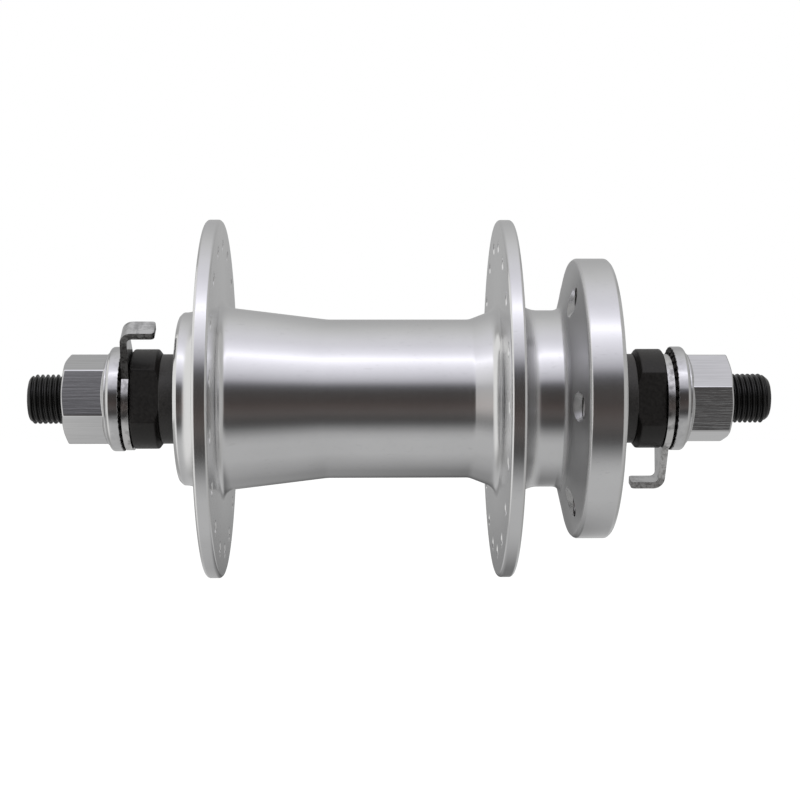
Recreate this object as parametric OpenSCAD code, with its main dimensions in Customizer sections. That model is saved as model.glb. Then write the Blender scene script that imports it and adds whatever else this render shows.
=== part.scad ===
// Front bicycle hub for a six-bolt brake disc: solid threaded axle, two sealed ball bearings.
// Millimetres. The axle lies along Y with the disc side towards +Y, and Z is up.
// The origin is the middle of the axle, halfway between the two locknut faces.
// Angles round the axle are counted from +X, and grow towards +Z.

/* [Axle] */
// Length of the axle from end to end
axle_len = 140.2; // [134:0.2:170]
// Distance of the axle's middle from the hub's middle, towards the disc
axle_shift = 0.5; // [-1:0.1:1]
// Diameter over the thread crests
axle_d = 9.4; // [8:0.1:10]
// Threads per inch
thread_tpi = 26; // [20:1:32]
// Depth of the thread
thread_depth = 0.53; // [0.3:0.01:0.6]
// Diameter of the end face, inside its chamfer
axle_tip_d = 7.6; // [5:0.1:7.8]
// Length of the chamfer at each end
axle_chamfer = 1.2; // [0.5:0.1:3]

/* [Locknuts and spacers] */
// Width over the locknut faces, which is the fork's inside width
over_locknuts = 100; // [98:0.5:115]
// Thickness of a locknut
locknut_w = 5.4; // [4:0.1:6]
// Outside diameter of a locknut
locknut_d = 18.9; // [17:0.1:22]
// Width across the two wrench flats of a locknut
locknut_flats = 16.1; // [14.5:0.1:16.9]
// Height of the chamfer on a locknut's edge towards the hub
locknut_chamfer = 0.7; // [0.2:0.05:1.2]
// Radial depth of that chamfer
locknut_chamfer_depth = 0.95; // [0.2:0.05:1.4]
// Chamfer on a locknut's edge towards the fork
locknut_edge = 0.3; // [0.1:0.05:0.8]
// Angle of a flat of the left locknut
left_locknut_angle = 4; // [-90:1:90]
// Angle of a flat of the right locknut
right_locknut_angle = -1; // [-90:1:90]
// Outside diameter of the spacer collar
collar_d = 17; // [14:0.1:17.1]
// Outside diameter of the tube between the bearings
spacer_tube_d = 15; // [13:0.1:17]
// Wall of the tube between the bearings
spacer_tube_wall = 2.4; // [1:0.1:2.4]

/* [Retention washers] */
// Outside diameter of the washer's ring
tab_ring_d = 18.2; // [17.4:0.1:24]
// Bore of the washer, in which it hangs low on the axle
tab_bore_d = 10.8; // [10:0.1:12]
// Thickness of the pressed plate
tab_t = 1.3; // [1:0.1:2.5]
// Distance of the hook's outer face from the middle of the bore
hook_r = 16.8; // [15:0.1:24]
// Width of the hook
hook_w = 4.2; // [3:0.1:7]
// Width of the arm where it leaves the ring
arm_root_w = 8.2; // [7.2:0.1:12]
// Distance that the hook's tip reaches in past the ring's inner face
hook_reach = 5.1; // [3:0.1:6.5]
// Inside radius of the bend
bend_r = 0.9; // [0.5:0.1:1.6]
// Corner radius at the hook's tip
hook_corner = 0.7; // [0.2:0.1:1.4]
// Angle of the left hook
left_hook_angle = 55; // [-180:1:180]
// Angle of the right hook
right_hook_angle = -105; // [-180:1:180]

/* [Axle nuts] */
// Width across flats of the hexagon
nut_flats = 15; // [14:0.1:17]
// Height of the nut above its washer
nut_h = 8.35; // [6:0.05:10]
// Diameter of the nut's skirt, where it bears on the washer
skirt_d = 17.6; // [17.2:0.1:19]
// Height of the skirt's cone
skirt_h = 1; // [0.5:0.1:2]
// Chamfer height at the nut's outer corners
nut_chamfer = 0.45; // [0.2:0.05:1.5]
// Outside diameter of the captive washer
nut_washer_d = 19.8; // [19.2:0.1:24]
// Thickness of the captive washer
nut_washer_t = 2.85; // [2:0.05:3.5]
// Height of the washer's rounded shoulder
shoulder_h = 1.3; // [0.5:0.1:1.8]
// Teeth on the washer's gripping face
washer_teeth = 30; // [16:1:48]
// Depth of those teeth
tooth_depth = 0.45; // [0.1:0.05:0.5]
// Diameter of the swaged lip that keeps the washer on the nut
lip_d = 13.6; // [13.2:0.1:14.4]
// Diameter of the nut's nose inside the washer
nose_d = 12.4; // [11.4:0.1:12.8]
// Angle of a flat of the left nut
left_nut_angle = 9; // [-30:1:30]
// Angle of a flat of the right nut
right_nut_angle = -16; // [-30:1:30]

/* [Shell] */
// Diameter of the barrel at its waist
waist_d = 30.1; // [27:0.1:32]
// Diameter of the barrel's cone at the left flange
barrel_root_d = 34.4; // [32:0.1:38]
// Distance of the cone's small end from the middle
waist_start = 13.4; // [8:0.1:20]
// Fillet between the cone and the left flange
barrel_fillet = 2.2; // [0.5:0.1:3]
// Length of the flare between the waist and the right flange
flare_len = 5.2; // [4:0.1:8]
// Angle of the flare's cone to the axle
flare_angle = 21; // [5:1:40]
// Fillet between the flare and the right flange
flare_fillet = 2.8; // [0.5:0.1:3.5]
// Diameter of the left boss
boss_d = 32.8; // [31:0.1:38]
// Fillet between the left boss and its flange
boss_fillet = 4.2; // [0.5:0.1:4.5]
// Bevel on the left boss's end
boss_bevel = 0.7; // [0.2:0.05:1.2]
// Diameter of the neck between the right flange and the disc mount
neck_d = 33.6; // [31:0.1:38]
// Fillet between the neck and the right flange
neck_fillet = 5; // [0.5:0.1:5.5]
// Fillet between the neck and the disc mount
mount_fillet = 1.8; // [0.5:0.1:2.5]
// Bore through the middle of the shell
core_bore_d = 24; // [20:0.1:25]
// Bevel on the disc mount's back edge, twice that on the register
end_bevel = 0.5; // [0.1:0.05:1]

/* [Spoke flanges] */
// Outside diameter of the flanges
flange_d = 67.7; // [64:0.1:80]
// Thickness of the flanges
flange_t = 2.75; // [2:0.05:3.5]
// Distance of the left flange from the middle
left_flange = 34.5; // [30:0.1:35.5]
// Distance of the right flange from the middle
right_flange = 19.95; // [14:0.05:24]
// Bevel on the flange edges
flange_bevel = 0.4; // [0.1:0.05:0.8]
// Diameter of the circle of spoke holes
spoke_circle_d = 58; // [56:0.1:60]
// Spoke holes in each flange
spoke_holes = 18; // [10:1:20]
// Diameter of a spoke hole
spoke_hole_d = 2.6; // [2.2:0.1:3]
// Angle of the first hole in the left flange
left_spoke_angle = 7; // [-20:1:20]
// Angle of the first hole in the right flange
right_spoke_angle = -3; // [-20:1:20]

/* [Disc mount] */
// Distance from the locknut's face back to the disc's mounting face
disc_setback = 10.4; // [9:0.1:14]
// Outside diameter of the disc mount
disc_mount_d = 53.2; // [51:0.1:60]
// Thickness of the disc mount at its rim
disc_mount_t = 6.6; // [4:0.1:8]
// Slope of the disc mount's back, by which it is thicker at the neck
back_angle = 14; // [0:1:16]
// Bevel on the edge towards the disc
disc_bevel = 0.6; // [0.2:0.05:1.2]
// Diameter of the raised register that centres the disc
register_d = 35; // [34:0.1:36]
// Height of the register
register_h = 1.6; // [1.2:0.1:3]
// Diameter of the bolt circle
bolt_circle_d = 44; // [42:0.1:46]
// Number of disc bolts
disc_bolts = 6; // [4:1:8]
// Tapping diameter of the bolt holes
bolt_hole_d = 4.2; // [3.4:0.1:4.6]
// Countersink depth at each mouth of a bolt hole
bolt_countersink = 0.5; // [0.2:0.1:0.9]
// Angle of the first bolt hole
bolt_angle = -4; // [-30:1:30]

/* [Bearings] */
// Outside diameter of a bearing
bearing_d = 28; // [27:0.1:29]
// Bore of a bearing
bearing_bore = 12; // [11.6:0.1:13]
// Width of a bearing
bearing_w = 8; // [7.8:0.1:8.6]
// Depth of the right bearing below the register's end face
right_recess = 0.5; // [0.2:0.1:2]
// Depth of the left bearing below the boss's end face
left_recess = 0.45; // [0.1:0.05:2]
// Number of balls
ball_count = 8; // [6:1:9]
// Diameter of a ball
ball_d = 4.762; // [4:0.001:4.9]
// Diameter of the inner ring's shoulders
inner_shoulder_d = 17.2; // [16.8:0.1:17.6]
// Diameter of the outer ring's shoulders
outer_shoulder_d = 22.8; // [22.4:0.1:23.2]
// Width of the ball cage
cage_w = 5.7; // [5.5:0.05:5.9]
// Radial thickness of the ball cage
cage_t = 1.8; // [1.2:0.1:2]
// Thickness of a bearing seal
seal_t = 0.6; // [0.4:0.1:0.7]
// Depth of a seal below the bearing's side face
seal_inset = 0.3; // [0.1:0.05:0.4]
// Diameter of the seal's seat in the outer ring
seal_seat_d = 25; // [24.4:0.1:25.6]

/* [Fits] */
// Radial clearance of the nuts and washers over the thread crests
axle_clear = 0.08; // [0.02:0.01:0.1]
// Clearance between pieces that turn against each other
running_clear = 0.08; // [0.04:0.01:0.1]
// Gap between faces of the hardware outside the locknuts
face_gap = 0.05; // [0.02:0.01:0.2]
// Radial play between a ball and its races
ball_play = 0.07; // [0.04:0.01:0.1]

/* [Hidden] */

// Sides of the hub
LEFT = -1;
RIGHT = 1;

// Length that a cut runs past the face it opens, and past a sloping face
over = 1;
slope_over = 1.5;

// Steps in a drawn arc, and sides of a turned surface
arc_steps = 8;
$fn = 96;

// Radii
axle_r = axle_d / 2;
flange_r = flange_d / 2;
bore_r = axle_r + axle_clear;
pitch_r = (inner_shoulder_d + outer_shoulder_d) / 4;
ball_r = ball_d / 2;
race_r = ball_r + ball_play;

// Thread form: crests an eighth of the pitch wide and 60 degree flanks
thread_pitch = 25.4 / thread_tpi;
thread_crest = thread_pitch / 8;
thread_flank = min(thread_depth * tan(30), (thread_pitch - thread_crest) / 2.2);

// Places along the axle, counted outwards from the middle
locknut_out = over_locknuts / 2;
locknut_in = locknut_out - locknut_w;
tab_in = locknut_out + face_gap;
tab_out = tab_in + tab_t;
washer_in = tab_out + face_gap;
washer_out = washer_in + nut_washer_t;
nut_in = washer_out + face_gap;
nut_out = nut_in + nut_h;
left_axle_end = axle_len / 2 - axle_shift;
right_axle_end = axle_len / 2 + axle_shift;
disc_face = locknut_out - disc_setback;
disc_back = disc_face - disc_mount_t;
register_end = disc_face + register_h;
bearing_out = register_end - right_recess;
bearing_in = bearing_out - bearing_w;
bearing_mid = bearing_out - bearing_w / 2;
boss_end = bearing_out + left_recess;

// Turns children so that they stand on the axle: z runs outwards on the named side
module on_axle(side = RIGHT, angle = 0) {
    rotate([-90, 0, 0])
        mirror([0, 0, side < 0 ? 1 : 0])
            rotate([0, 0, -angle])
                children();
}

// Copies children at even angles round the axle
module around(count) {
    for (i = [0 : count - 1])
        rotate([0, 0, i * 360 / count])
            children();
}

// Washer or tube between two heights
module ring(outer_r, inner_r, low, high) {
    translate([0, 0, low])
        difference() {
            cylinder(r = outer_r, h = high - low);
            translate([0, 0, -over])
                cylinder(r = inner_r, h = high - low + 2 * over);
        }
}

// Points of an arc round a centre
function arc(centre, r, from, to, steps = arc_steps) = [
    for (i = [0 : steps])
        let (a = from + (to - from) * i / steps)
        [centre[0] + r * cos(a), centre[1] + r * sin(a)]
];

// A list of profile points turned over in z, in reverse order
function turned(points) = [
    for (i = [len(points) - 1 : -1 : 0])
        [points[i][0], -points[i][1]]
];

// Thread profile of one end of the axle, from its first crest to its end face
thread_root_r = axle_r - thread_depth;
function end_profile(end) = concat(
    [
        for (i = [0 : floor((end - axle_chamfer - locknut_in) / thread_pitch) - 1])
            let (z = locknut_in + i * thread_pitch + thread_crest / 2)
            each [
                [axle_r, z],
                [thread_root_r, z + thread_flank],
                [thread_root_r, z + thread_pitch - thread_crest - thread_flank],
                [axle_r, z + thread_pitch - thread_crest]
            ]
    ],
    [
        [axle_r, end - axle_chamfer],
        [axle_tip_d / 2, end],
        [0, end]
    ]
);

module axle() {
    color("#26262a")
        on_axle()
            rotate_extrude()
                polygon(concat(turned(end_profile(left_axle_end)), end_profile(right_axle_end)));
}

module inner_spacer_tube() {
    color("#b9bcc0")
        on_axle()
            ring(spacer_tube_d / 2, spacer_tube_d / 2 - spacer_tube_wall, -bearing_in, bearing_in);
}

// Top-hat spacer: a sleeve through the bearing and a collar out to the locknut
module end_spacer(side) {
    color("#2f2f32")
        on_axle(side)
            union() {
                ring(bearing_bore / 2, bore_r, bearing_in, locknut_in);
                ring(collar_d / 2, bore_r, bearing_out, locknut_in);
            }
}

// Round nut with two wrench flats
module locknut(side, angle) {
    r = locknut_d / 2;
    face_r = r - locknut_chamfer_depth;
    color("#232325")
        on_axle(side, angle)
            intersection() {
                rotate_extrude()
                    polygon([
                        [bore_r, locknut_in], [face_r, locknut_in], [r, locknut_in + locknut_chamfer],
                        [r, locknut_out - locknut_edge], [r - locknut_edge, locknut_out],
                        [bore_r, locknut_out]
                    ]);
                translate([-locknut_flats / 2, -r, locknut_in - over])
                    cube([locknut_flats, 2 * r, locknut_w + 2 * over]);
            }
}

// Distance that the arm starts inside the ring's edge
root_overlap = 0.2;

// Pressed washer: a ring, an arm that narrows outwards, a bend and an inward hook.
// Its loose bore lets it hang low, so that it touches the top of the axle.
module tab_washer(side, angle) {
    drop = tab_bore_d / 2 - bore_r;
    bend_out = bend_r + tab_t;
    arm_end = hook_r - bend_out;
    arm_root = tab_ring_d / 2 * cos(asin(arm_root_w / tab_ring_d)) - root_overlap;
    hook_tip = tab_in - hook_reach;
    hook_root = tab_in - bend_r;
    color("#c9cacd")
        translate([0, 0, -drop])
            on_axle(side, angle)
                difference() {
                    union() {
                        translate([0, 0, tab_in])
                            linear_extrude(tab_t)
                                union() {
                                    circle(r = tab_ring_d / 2);
                                    polygon([
                                        [0, -arm_root_w / 2], [arm_root, -arm_root_w / 2],
                                        [arm_end, -hook_w / 2], [arm_end, hook_w / 2],
                                        [arm_root, arm_root_w / 2], [0, arm_root_w / 2]
                                    ]);
                                }
                        translate([arm_end, 0, hook_root])
                            rotate([90, 0, 0])
                                translate([0, 0, -hook_w / 2])
                                    rotate_extrude(angle = 90)
                                        translate([bend_r, 0])
                                            square([tab_t, hook_w]);
                        translate([hook_r, 0, 0])
                            rotate([0, -90, 0])
                                linear_extrude(tab_t)
                                    hook_outline(hook_tip, hook_root);
                    }
                    translate([0, 0, tab_in - over])
                        cylinder(d = tab_bore_d, h = tab_t + 2 * over);
                }
}

// Flat outline of the hook, with round corners at its tip
module hook_outline(tip, root) {
    translate([tip + hook_corner, -hook_w / 2])
        square([root - tip - hook_corner, hook_w]);
    translate([tip, -hook_w / 2 + hook_corner])
        square([root - tip, hook_w - 2 * hook_corner]);
    for (edge = [-1, 1])
        translate([tip + hook_corner, edge * (hook_w / 2 - hook_corner)])
            circle(r = hook_corner);
}

// Captive washer: a round shoulder towards the nut, teeth towards the fork
module nut_washer(side) {
    r = nut_washer_d / 2;
    rim_bevel = 0.2;
    seat_r = skirt_d / 2;
    nose_seat_r = nose_d / 2 + running_clear;
    lip_seat_r = lip_d / 2 + running_clear;
    color("#c6c7ca")
        on_axle(side)
            difference() {
                rotate_extrude()
                    polygon(concat(
                        [[lip_seat_r, washer_in], [r - rim_bevel, washer_in], [r, washer_in + rim_bevel]],
                        [
                            for (p = arc([0, 0], 1, 0, 90))
                                [seat_r + (r - seat_r) * p[0], washer_out - shoulder_h * (1 - p[1])]
                        ],
                        [
                            [nose_seat_r, washer_out], [nose_seat_r, lip_out + running_clear],
                            [lip_seat_r, lip_out + running_clear]
                        ]
                    ));
                around(washer_teeth)
                    tooth_cut(r);
            }
}

// Share of each tooth's pitch that its groove takes up
tooth_gap_share = 0.85;

// Groove between two teeth of the captive washer
module tooth_cut(r) {
    half_w = PI * r / washer_teeth * tooth_gap_share;
    translate([lip_d / 2 + 0.8, 0, washer_in])
        rotate([90, 0, 90])
            linear_extrude(r)
                polygon([[-half_w, -tooth_depth], [half_w, -tooth_depth], [0, tooth_depth]]);
}

// Height of the swaged lip's outer side, inside the captive washer
lip_out = washer_in + nut_washer_t * 0.45;

module axle_nut(side, angle) {
    flat_r = nut_flats / 2;
    corner_r = flat_r / cos(30);
    color("#c3c5c9")
        on_axle(side, angle)
            difference() {
                union() {
                    intersection() {
                        translate([0, 0, nut_in])
                            rotate([0, 0, 30])
                                cylinder(r = corner_r, h = nut_h, $fn = 6);
                        rotate_extrude()
                            polygon([
                                [0, nut_in], [corner_r, nut_in], [corner_r, nut_out - nut_chamfer],
                                [flat_r - 0.2, nut_out], [0, nut_out]
                            ]);
                    }
                    translate([0, 0, nut_in])
                        cylinder(r1 = skirt_d / 2, r2 = flat_r - 0.1, h = skirt_h);
                    translate([0, 0, washer_in + face_gap])
                        cylinder(r = nose_d / 2, h = nut_in - washer_in);
                    translate([0, 0, washer_in + face_gap])
                        cylinder(r = lip_d / 2, h = lip_out - washer_in - face_gap);
                }
                translate([0, 0, washer_in - over])
                    cylinder(r = bore_r, h = nut_out - washer_in + 2 * over);
            }
}

// Outline of the shell, from the left boss along the outside to the right end and back inside
boss_r = boss_d / 2;
barrel_root_r = barrel_root_d / 2;
waist_r = waist_d / 2;
neck_r = neck_d / 2;
disc_r = disc_mount_d / 2;
seat_r = bearing_d / 2;
core_r = core_bore_d / 2;
left_flange_out = -left_flange - flange_t / 2;
left_flange_in = -left_flange + flange_t / 2;
right_flange_in = right_flange - flange_t / 2;
right_flange_out = right_flange + flange_t / 2;

function flange_edge(low, high) = [
    [flange_r - flange_bevel, low], [flange_r, low + flange_bevel],
    [flange_r, high - flange_bevel], [flange_r - flange_bevel, high]
];

// Largest share of a short boss or neck that its fillet takes up
fillet_share = 0.95;
boss_arc_r = min(boss_fillet, fillet_share * (boss_end - boss_bevel + left_flange_out));

// Cone off the waist, and the middle of the fillet that carries it into the right flange
flare_rise = flare_len - flare_fillet * (1 - sin(flare_angle));
flare_arc_at = waist_r + flare_rise * tan(flare_angle) + flare_fillet * cos(flare_angle);

// Height of the disc mount's sloping back at a radius
function back_at(r) = disc_back - (disc_r - r) * tan(back_angle);

// Middle of the fillet between the neck and that back
mount_arc_at = neck_r + mount_fillet;
mount_arc_y = back_at(mount_arc_at - mount_fillet * sin(back_angle)) - mount_fillet * cos(back_angle);
neck_arc_r = min(neck_fillet, fillet_share * (mount_arc_y - right_flange_out));

shell_outline = concat(
    [[seat_r, -boss_end], [boss_r - boss_bevel, -boss_end], [boss_r, -boss_end + boss_bevel]],
    arc([boss_r + boss_arc_r, left_flange_out - boss_arc_r], boss_arc_r, 180, 90),
    flange_edge(left_flange_out, left_flange_in),
    arc([barrel_root_r + barrel_fillet, left_flange_in + barrel_fillet], barrel_fillet, 270, 180),
    [[waist_r, -waist_start], [waist_r, right_flange_in - flare_len]],
    arc([flare_arc_at, right_flange_in - flare_fillet], flare_fillet, 180 - flare_angle, 90),
    flange_edge(right_flange_in, right_flange_out),
    arc([neck_r + neck_arc_r, right_flange_out + neck_arc_r], neck_arc_r, 270, 180),
    arc([mount_arc_at, mount_arc_y], mount_fillet, 180, 90 + back_angle),
    [
        [disc_r - end_bevel, back_at(disc_r - end_bevel)], [disc_r, disc_back + end_bevel],
        [disc_r, disc_face - disc_bevel], [disc_r - disc_bevel, disc_face],
        [register_d / 2, disc_face], [register_d / 2, register_end - end_bevel / 2],
        [register_d / 2 - end_bevel / 2, register_end], [seat_r, register_end],
        [seat_r, bearing_in], [core_r, bearing_in],
        [core_r, -bearing_in], [seat_r, -bearing_in]
    ]
);

// Drill for one hole on a circle, with a small countersink at each face.
// Its low end runs further out where the face there is a slope.
module drill(circle_r, hole_r, low, high, countersink, run = over) {
    translate([circle_r, 0, 0]) {
        translate([0, 0, low - run])
            cylinder(r = hole_r, h = high - low + run + over);
        translate([0, 0, low - run])
            cylinder(r1 = hole_r + countersink + run, r2 = hole_r, h = countersink + run);
        translate([0, 0, high - countersink])
            cylinder(r1 = hole_r, r2 = hole_r + countersink + over, h = countersink + over);
    }
}

module spoke_drills(low, high, angle) {
    rotate([0, 0, -angle])
        around(spoke_holes)
            drill(spoke_circle_d / 2, spoke_hole_d / 2, low, high, 0.2);
}

module bolt_drills(low, high, angle) {
    rotate([0, 0, -angle])
        around(disc_bolts)
            drill(bolt_circle_d / 2, bolt_hole_d / 2, low, high, bolt_countersink, slope_over);
}

module hub_shell() {
    color("#c4c5c7")
        on_axle()
            difference() {
                rotate_extrude()
                    polygon(shell_outline);
                spoke_drills(left_flange_out, left_flange_in, left_spoke_angle);
                spoke_drills(right_flange_in, right_flange_out, right_spoke_angle);
                bolt_drills(back_at(bolt_circle_d / 2), disc_face, bolt_angle);
            }
}

// Circle that rolls the ball groove into a ring, as a solid ring round the axle
module ball_groove() {
    translate([0, 0, bearing_mid])
        rotate_extrude()
            translate([pitch_r, 0])
                circle(r = race_r);
}

module bearing_outer_ring(side) {
    seal_seat_depth = seal_inset + seal_t;
    color("#a9abae")
        on_axle(side)
            difference() {
                ring(seat_r, outer_shoulder_d / 2, bearing_in, bearing_out);
                ball_groove();
                translate([0, 0, bearing_in - over])
                    cylinder(r = seal_seat_d / 2, h = seal_seat_depth + over);
                translate([0, 0, bearing_out - seal_seat_depth])
                    cylinder(r = seal_seat_d / 2, h = seal_seat_depth + over);
            }
}

module bearing_inner_ring(side) {
    color("#a9abae")
        on_axle(side)
            difference() {
                ring(inner_shoulder_d / 2, bearing_bore / 2, bearing_in, bearing_out);
                ball_groove();
            }
}

module bearing_balls(side) {
    color("#d6d8da")
        on_axle(side)
            around(ball_count)
                translate([pitch_r, 0, bearing_mid])
                    sphere(r = ball_r);
}

module bearing_cage(side) {
    color("#8c7a55")
        on_axle(side)
            difference() {
                translate([0, 0, bearing_mid])
                    ring(pitch_r + cage_t / 2, pitch_r - cage_t / 2, -cage_w / 2, cage_w / 2);
                around(ball_count)
                    translate([pitch_r - cage_t, 0, bearing_mid])
                        rotate([0, 90, 0])
                            cylinder(r = ball_r + running_clear, h = 2 * cage_t);
            }
}

// Seal seated in the outer ring, on the side of the bearing that the height names
module bearing_seal(side, low) {
    color("#1d1d1f")
        on_axle(side)
            ring(seal_seat_d / 2, inner_shoulder_d / 2 + running_clear, low, low + seal_t);
}

module bearing_outer_seal(side) {
    bearing_seal(side, bearing_out - seal_inset - seal_t);
}

module bearing_inner_seal(side) {
    bearing_seal(side, bearing_in + seal_inset);
}

hub_shell();
axle();
inner_spacer_tube();
end_spacer(LEFT);  // left_end_spacer
end_spacer(RIGHT);  // right_end_spacer
locknut(LEFT, left_locknut_angle);  // left_locknut
locknut(RIGHT, right_locknut_angle);  // right_locknut
tab_washer(LEFT, left_hook_angle);  // left_tab_washer
tab_washer(RIGHT, right_hook_angle);  // right_tab_washer
nut_washer(LEFT);  // left_nut_washer
nut_washer(RIGHT);  // right_nut_washer
axle_nut(LEFT, left_nut_angle);  // left_axle_nut
axle_nut(RIGHT, right_nut_angle);  // right_axle_nut
bearing_outer_ring(LEFT);  // left_bearing_outer_ring
bearing_outer_ring(RIGHT);  // right_bearing_outer_ring
bearing_inner_ring(LEFT);  // left_bearing_inner_ring
bearing_inner_ring(RIGHT);  // right_bearing_inner_ring
bearing_balls(LEFT);  // left_bearing_balls
bearing_balls(RIGHT);  // right_bearing_balls
bearing_cage(LEFT);  // left_bearing_cage
bearing_cage(RIGHT);  // right_bearing_cage
bearing_outer_seal(LEFT);  // left_bearing_outer_seal
bearing_outer_seal(RIGHT);  // right_bearing_outer_seal
bearing_inner_seal(LEFT);  // left_bearing_inner_seal
bearing_inner_seal(RIGHT);  // right_bearing_inner_seal
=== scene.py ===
# %% Disc brake hub
import math
import bpy
import bmesh
import numpy as np
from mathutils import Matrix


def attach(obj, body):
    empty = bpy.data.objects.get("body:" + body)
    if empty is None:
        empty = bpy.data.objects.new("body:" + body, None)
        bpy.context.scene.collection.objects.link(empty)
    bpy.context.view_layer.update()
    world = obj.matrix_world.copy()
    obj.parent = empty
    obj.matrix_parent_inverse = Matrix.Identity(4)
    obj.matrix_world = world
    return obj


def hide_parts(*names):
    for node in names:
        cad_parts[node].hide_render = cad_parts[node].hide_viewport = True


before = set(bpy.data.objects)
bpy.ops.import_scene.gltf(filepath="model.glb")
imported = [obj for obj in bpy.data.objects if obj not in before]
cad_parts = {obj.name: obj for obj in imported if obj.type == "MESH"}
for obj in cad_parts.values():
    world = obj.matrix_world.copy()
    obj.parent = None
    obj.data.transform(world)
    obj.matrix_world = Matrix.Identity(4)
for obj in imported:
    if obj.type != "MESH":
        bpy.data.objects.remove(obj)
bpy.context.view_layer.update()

# %% [markdown]
# # How the pieces are made
# The hub comes off lathes, a press and a bar of hexagon steel. Nearly every piece is therefore a
# profile, carried round the axle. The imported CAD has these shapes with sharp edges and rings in
# place of threads. A sharp edge catches no light, so each visible piece is worked out again here
# from the same sizes, with small roundings, true helices and finer steps, and replaces its node.
# All sizes are millimetres until the mesh is made. The axle lies along Y, the disc side is +Y.

# %% Sizes, as in the CAD
LEFT, RIGHT = -1, 1
SIDE_NAME = {LEFT: "left", RIGHT: "right"}
MM = 0.001

AXLE_R = 4.7
BORE_R = AXLE_R + 0.08
AXLE_END = {LEFT: 69.6, RIGHT: 70.6}
BEARING_IN, BEARING_OUT = 32.7, 40.7
LOCKNUT_IN, LOCKNUT_OUT = 44.6, 50.0
FACE_GAP = 0.05
TAB_IN = LOCKNUT_OUT + FACE_GAP
TAB_T = 1.3
WASHER_IN = TAB_IN + TAB_T + FACE_GAP
WASHER_T = 2.85
WASHER_OUT = WASHER_IN + WASHER_T
LIP_TOP = WASHER_IN + WASHER_T * 0.45        # end of the nut's lip inside the captive washer
NUT_IN = WASHER_OUT + FACE_GAP
NUT_OUT = NUT_IN + 8.35
NUT_ANGLE = {LEFT: 9, RIGHT: -16}            # degrees from straight ahead to one flat's middle
print("nut from", round(NUT_IN, 2), "to", round(NUT_OUT, 2), "mm")

# %% [markdown]
# ## Profiles
# A turned edge is never sharp: the tool's nose and the polishing wheel leave a small curve, which
# shows as a bright line. `soften` puts such a curve at chosen corners of a profile. A Bevel
# modifier could do it too, but on a fine mesh it is slow and also acts on the holes.

# %% Rounded corners and arcs
LARGEST_SHARE = 0.45                         # of an edge that one rounding may take


def soften(corners, sizes, steps=4):
    """Profile with rounded corners. Corner B with neighbours A and C gives way to the quadratic
    blend (1-t)^2 P + 2t(1-t) B + t^2 Q, where P and Q lie `size` from B towards A and C."""
    corners = np.asarray(corners, float)
    rows = []
    for k, size in enumerate(sizes):
        here = corners[k]
        if size == 0:
            rows.append(here[None])
            continue
        ends = []
        for other in (corners[k - 1], corners[(k + 1) % len(corners)]):
            edge = other - here
            length = np.maximum(np.linalg.norm(edge, axis=-1, keepdims=True), 1e-9)
            ends.append(here + edge * np.minimum(size / length, LARGEST_SHARE))
        t = np.linspace(0, 1, steps + 1).reshape((-1,) + (1,) * here.ndim)
        rows.append((1 - t) ** 2 * ends[0] + 2 * t * (1 - t) * here + t ** 2 * ends[1])
    return np.concatenate(rows)


def arc(centre, radius, start, stop, steps=10):
    """Points (r, z) of a circle about a centre, from one angle to another in degrees."""
    a = np.radians(np.linspace(start, stop, steps + 1))
    return [(centre[0] + radius * math.cos(x), centre[1] + radius * math.sin(x)) for x in a]


def mixed(*parts):
    """Corners and their rounding sizes from (corner, size) pairs and lists of finished points."""
    corners, sizes = [], []
    for part in parts:
        if isinstance(part, list):
            corners += part
            sizes += [0] * len(part)
        else:
            corners.append(part[0])
            sizes.append(part[1])
    return corners, sizes


print("a softened right angle has", len(soften([(0, 0), (1, 0), (1, 1)], [0, 0.2, 0])), "points")


# %% Ramps
def ramp(value, start, width):
    """0 up to start, 1 from start + width on, and a straight line between them."""
    return np.clip((value - start) / width, 0, 1)


def ease(t):
    """t^2 (3 - 2t), which goes from 0 to 1 and is level at both ends."""
    return t * t * (3 - 2 * t)


print("an eased quarter is", ease(ramp(1, 0, 4)))

# %% [markdown]
# ## From profile to surface
# A surface is a grid of points. `revolve` turns a profile into one: each profile point (r, z)
# becomes a ring. The profile may differ from angle to angle, which is how the hexagon, the wrench
# flats and the washer's teeth are made without cutting anything. A Screw modifier turns a profile
# too, but it can't vary it.

# %% Turned surfaces
MM_PER_CM = 10


def round_angles(count):
    """Evenly spaced angles once round, in radians, with the first one repeated at the end."""
    return np.radians(np.linspace(0, 360, count + 1))


def revolve(profile, angles, side=RIGHT):
    """Grid of a turned surface: the profile point (r, z) at angle a lands at
    (r cos a, side z, r sin a)."""
    profile = np.asarray(profile, float)
    if profile.ndim == 2:
        profile = profile[:, None, :]
    r, z = profile[..., 0], profile[..., 1]
    r, z, a = np.broadcast_arrays(r, z, angles)
    return np.stack([r * np.cos(a), side * z, r * np.sin(a)], -1)


def grid_uv(points, around):
    """Texture place of a grid: u is the length walked down the rows in centimetres, v the angle
    in turns."""
    steps = np.linalg.norm(np.diff(points, axis=0), axis=-1).mean(1)
    u = np.concatenate([[0], np.cumsum(steps)]) / MM_PER_CM
    v = np.asarray(around) / (2 * np.pi)
    return np.stack(np.broadcast_arrays(u[:, None], v), -1)


print("a ring of 160 columns has", len(round_angles(160)), "angles")

# %% [markdown]
# ## From surfaces to a piece
# A piece is one closed skin of several grids. Their shared edges are merged, the faces are turned
# outwards, and edges above an angle stay sharp. The Weighted Normal modifier lets large faces
# decide how their edges are shaded, so a flat face stays flat right up to its rounded rim.

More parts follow.
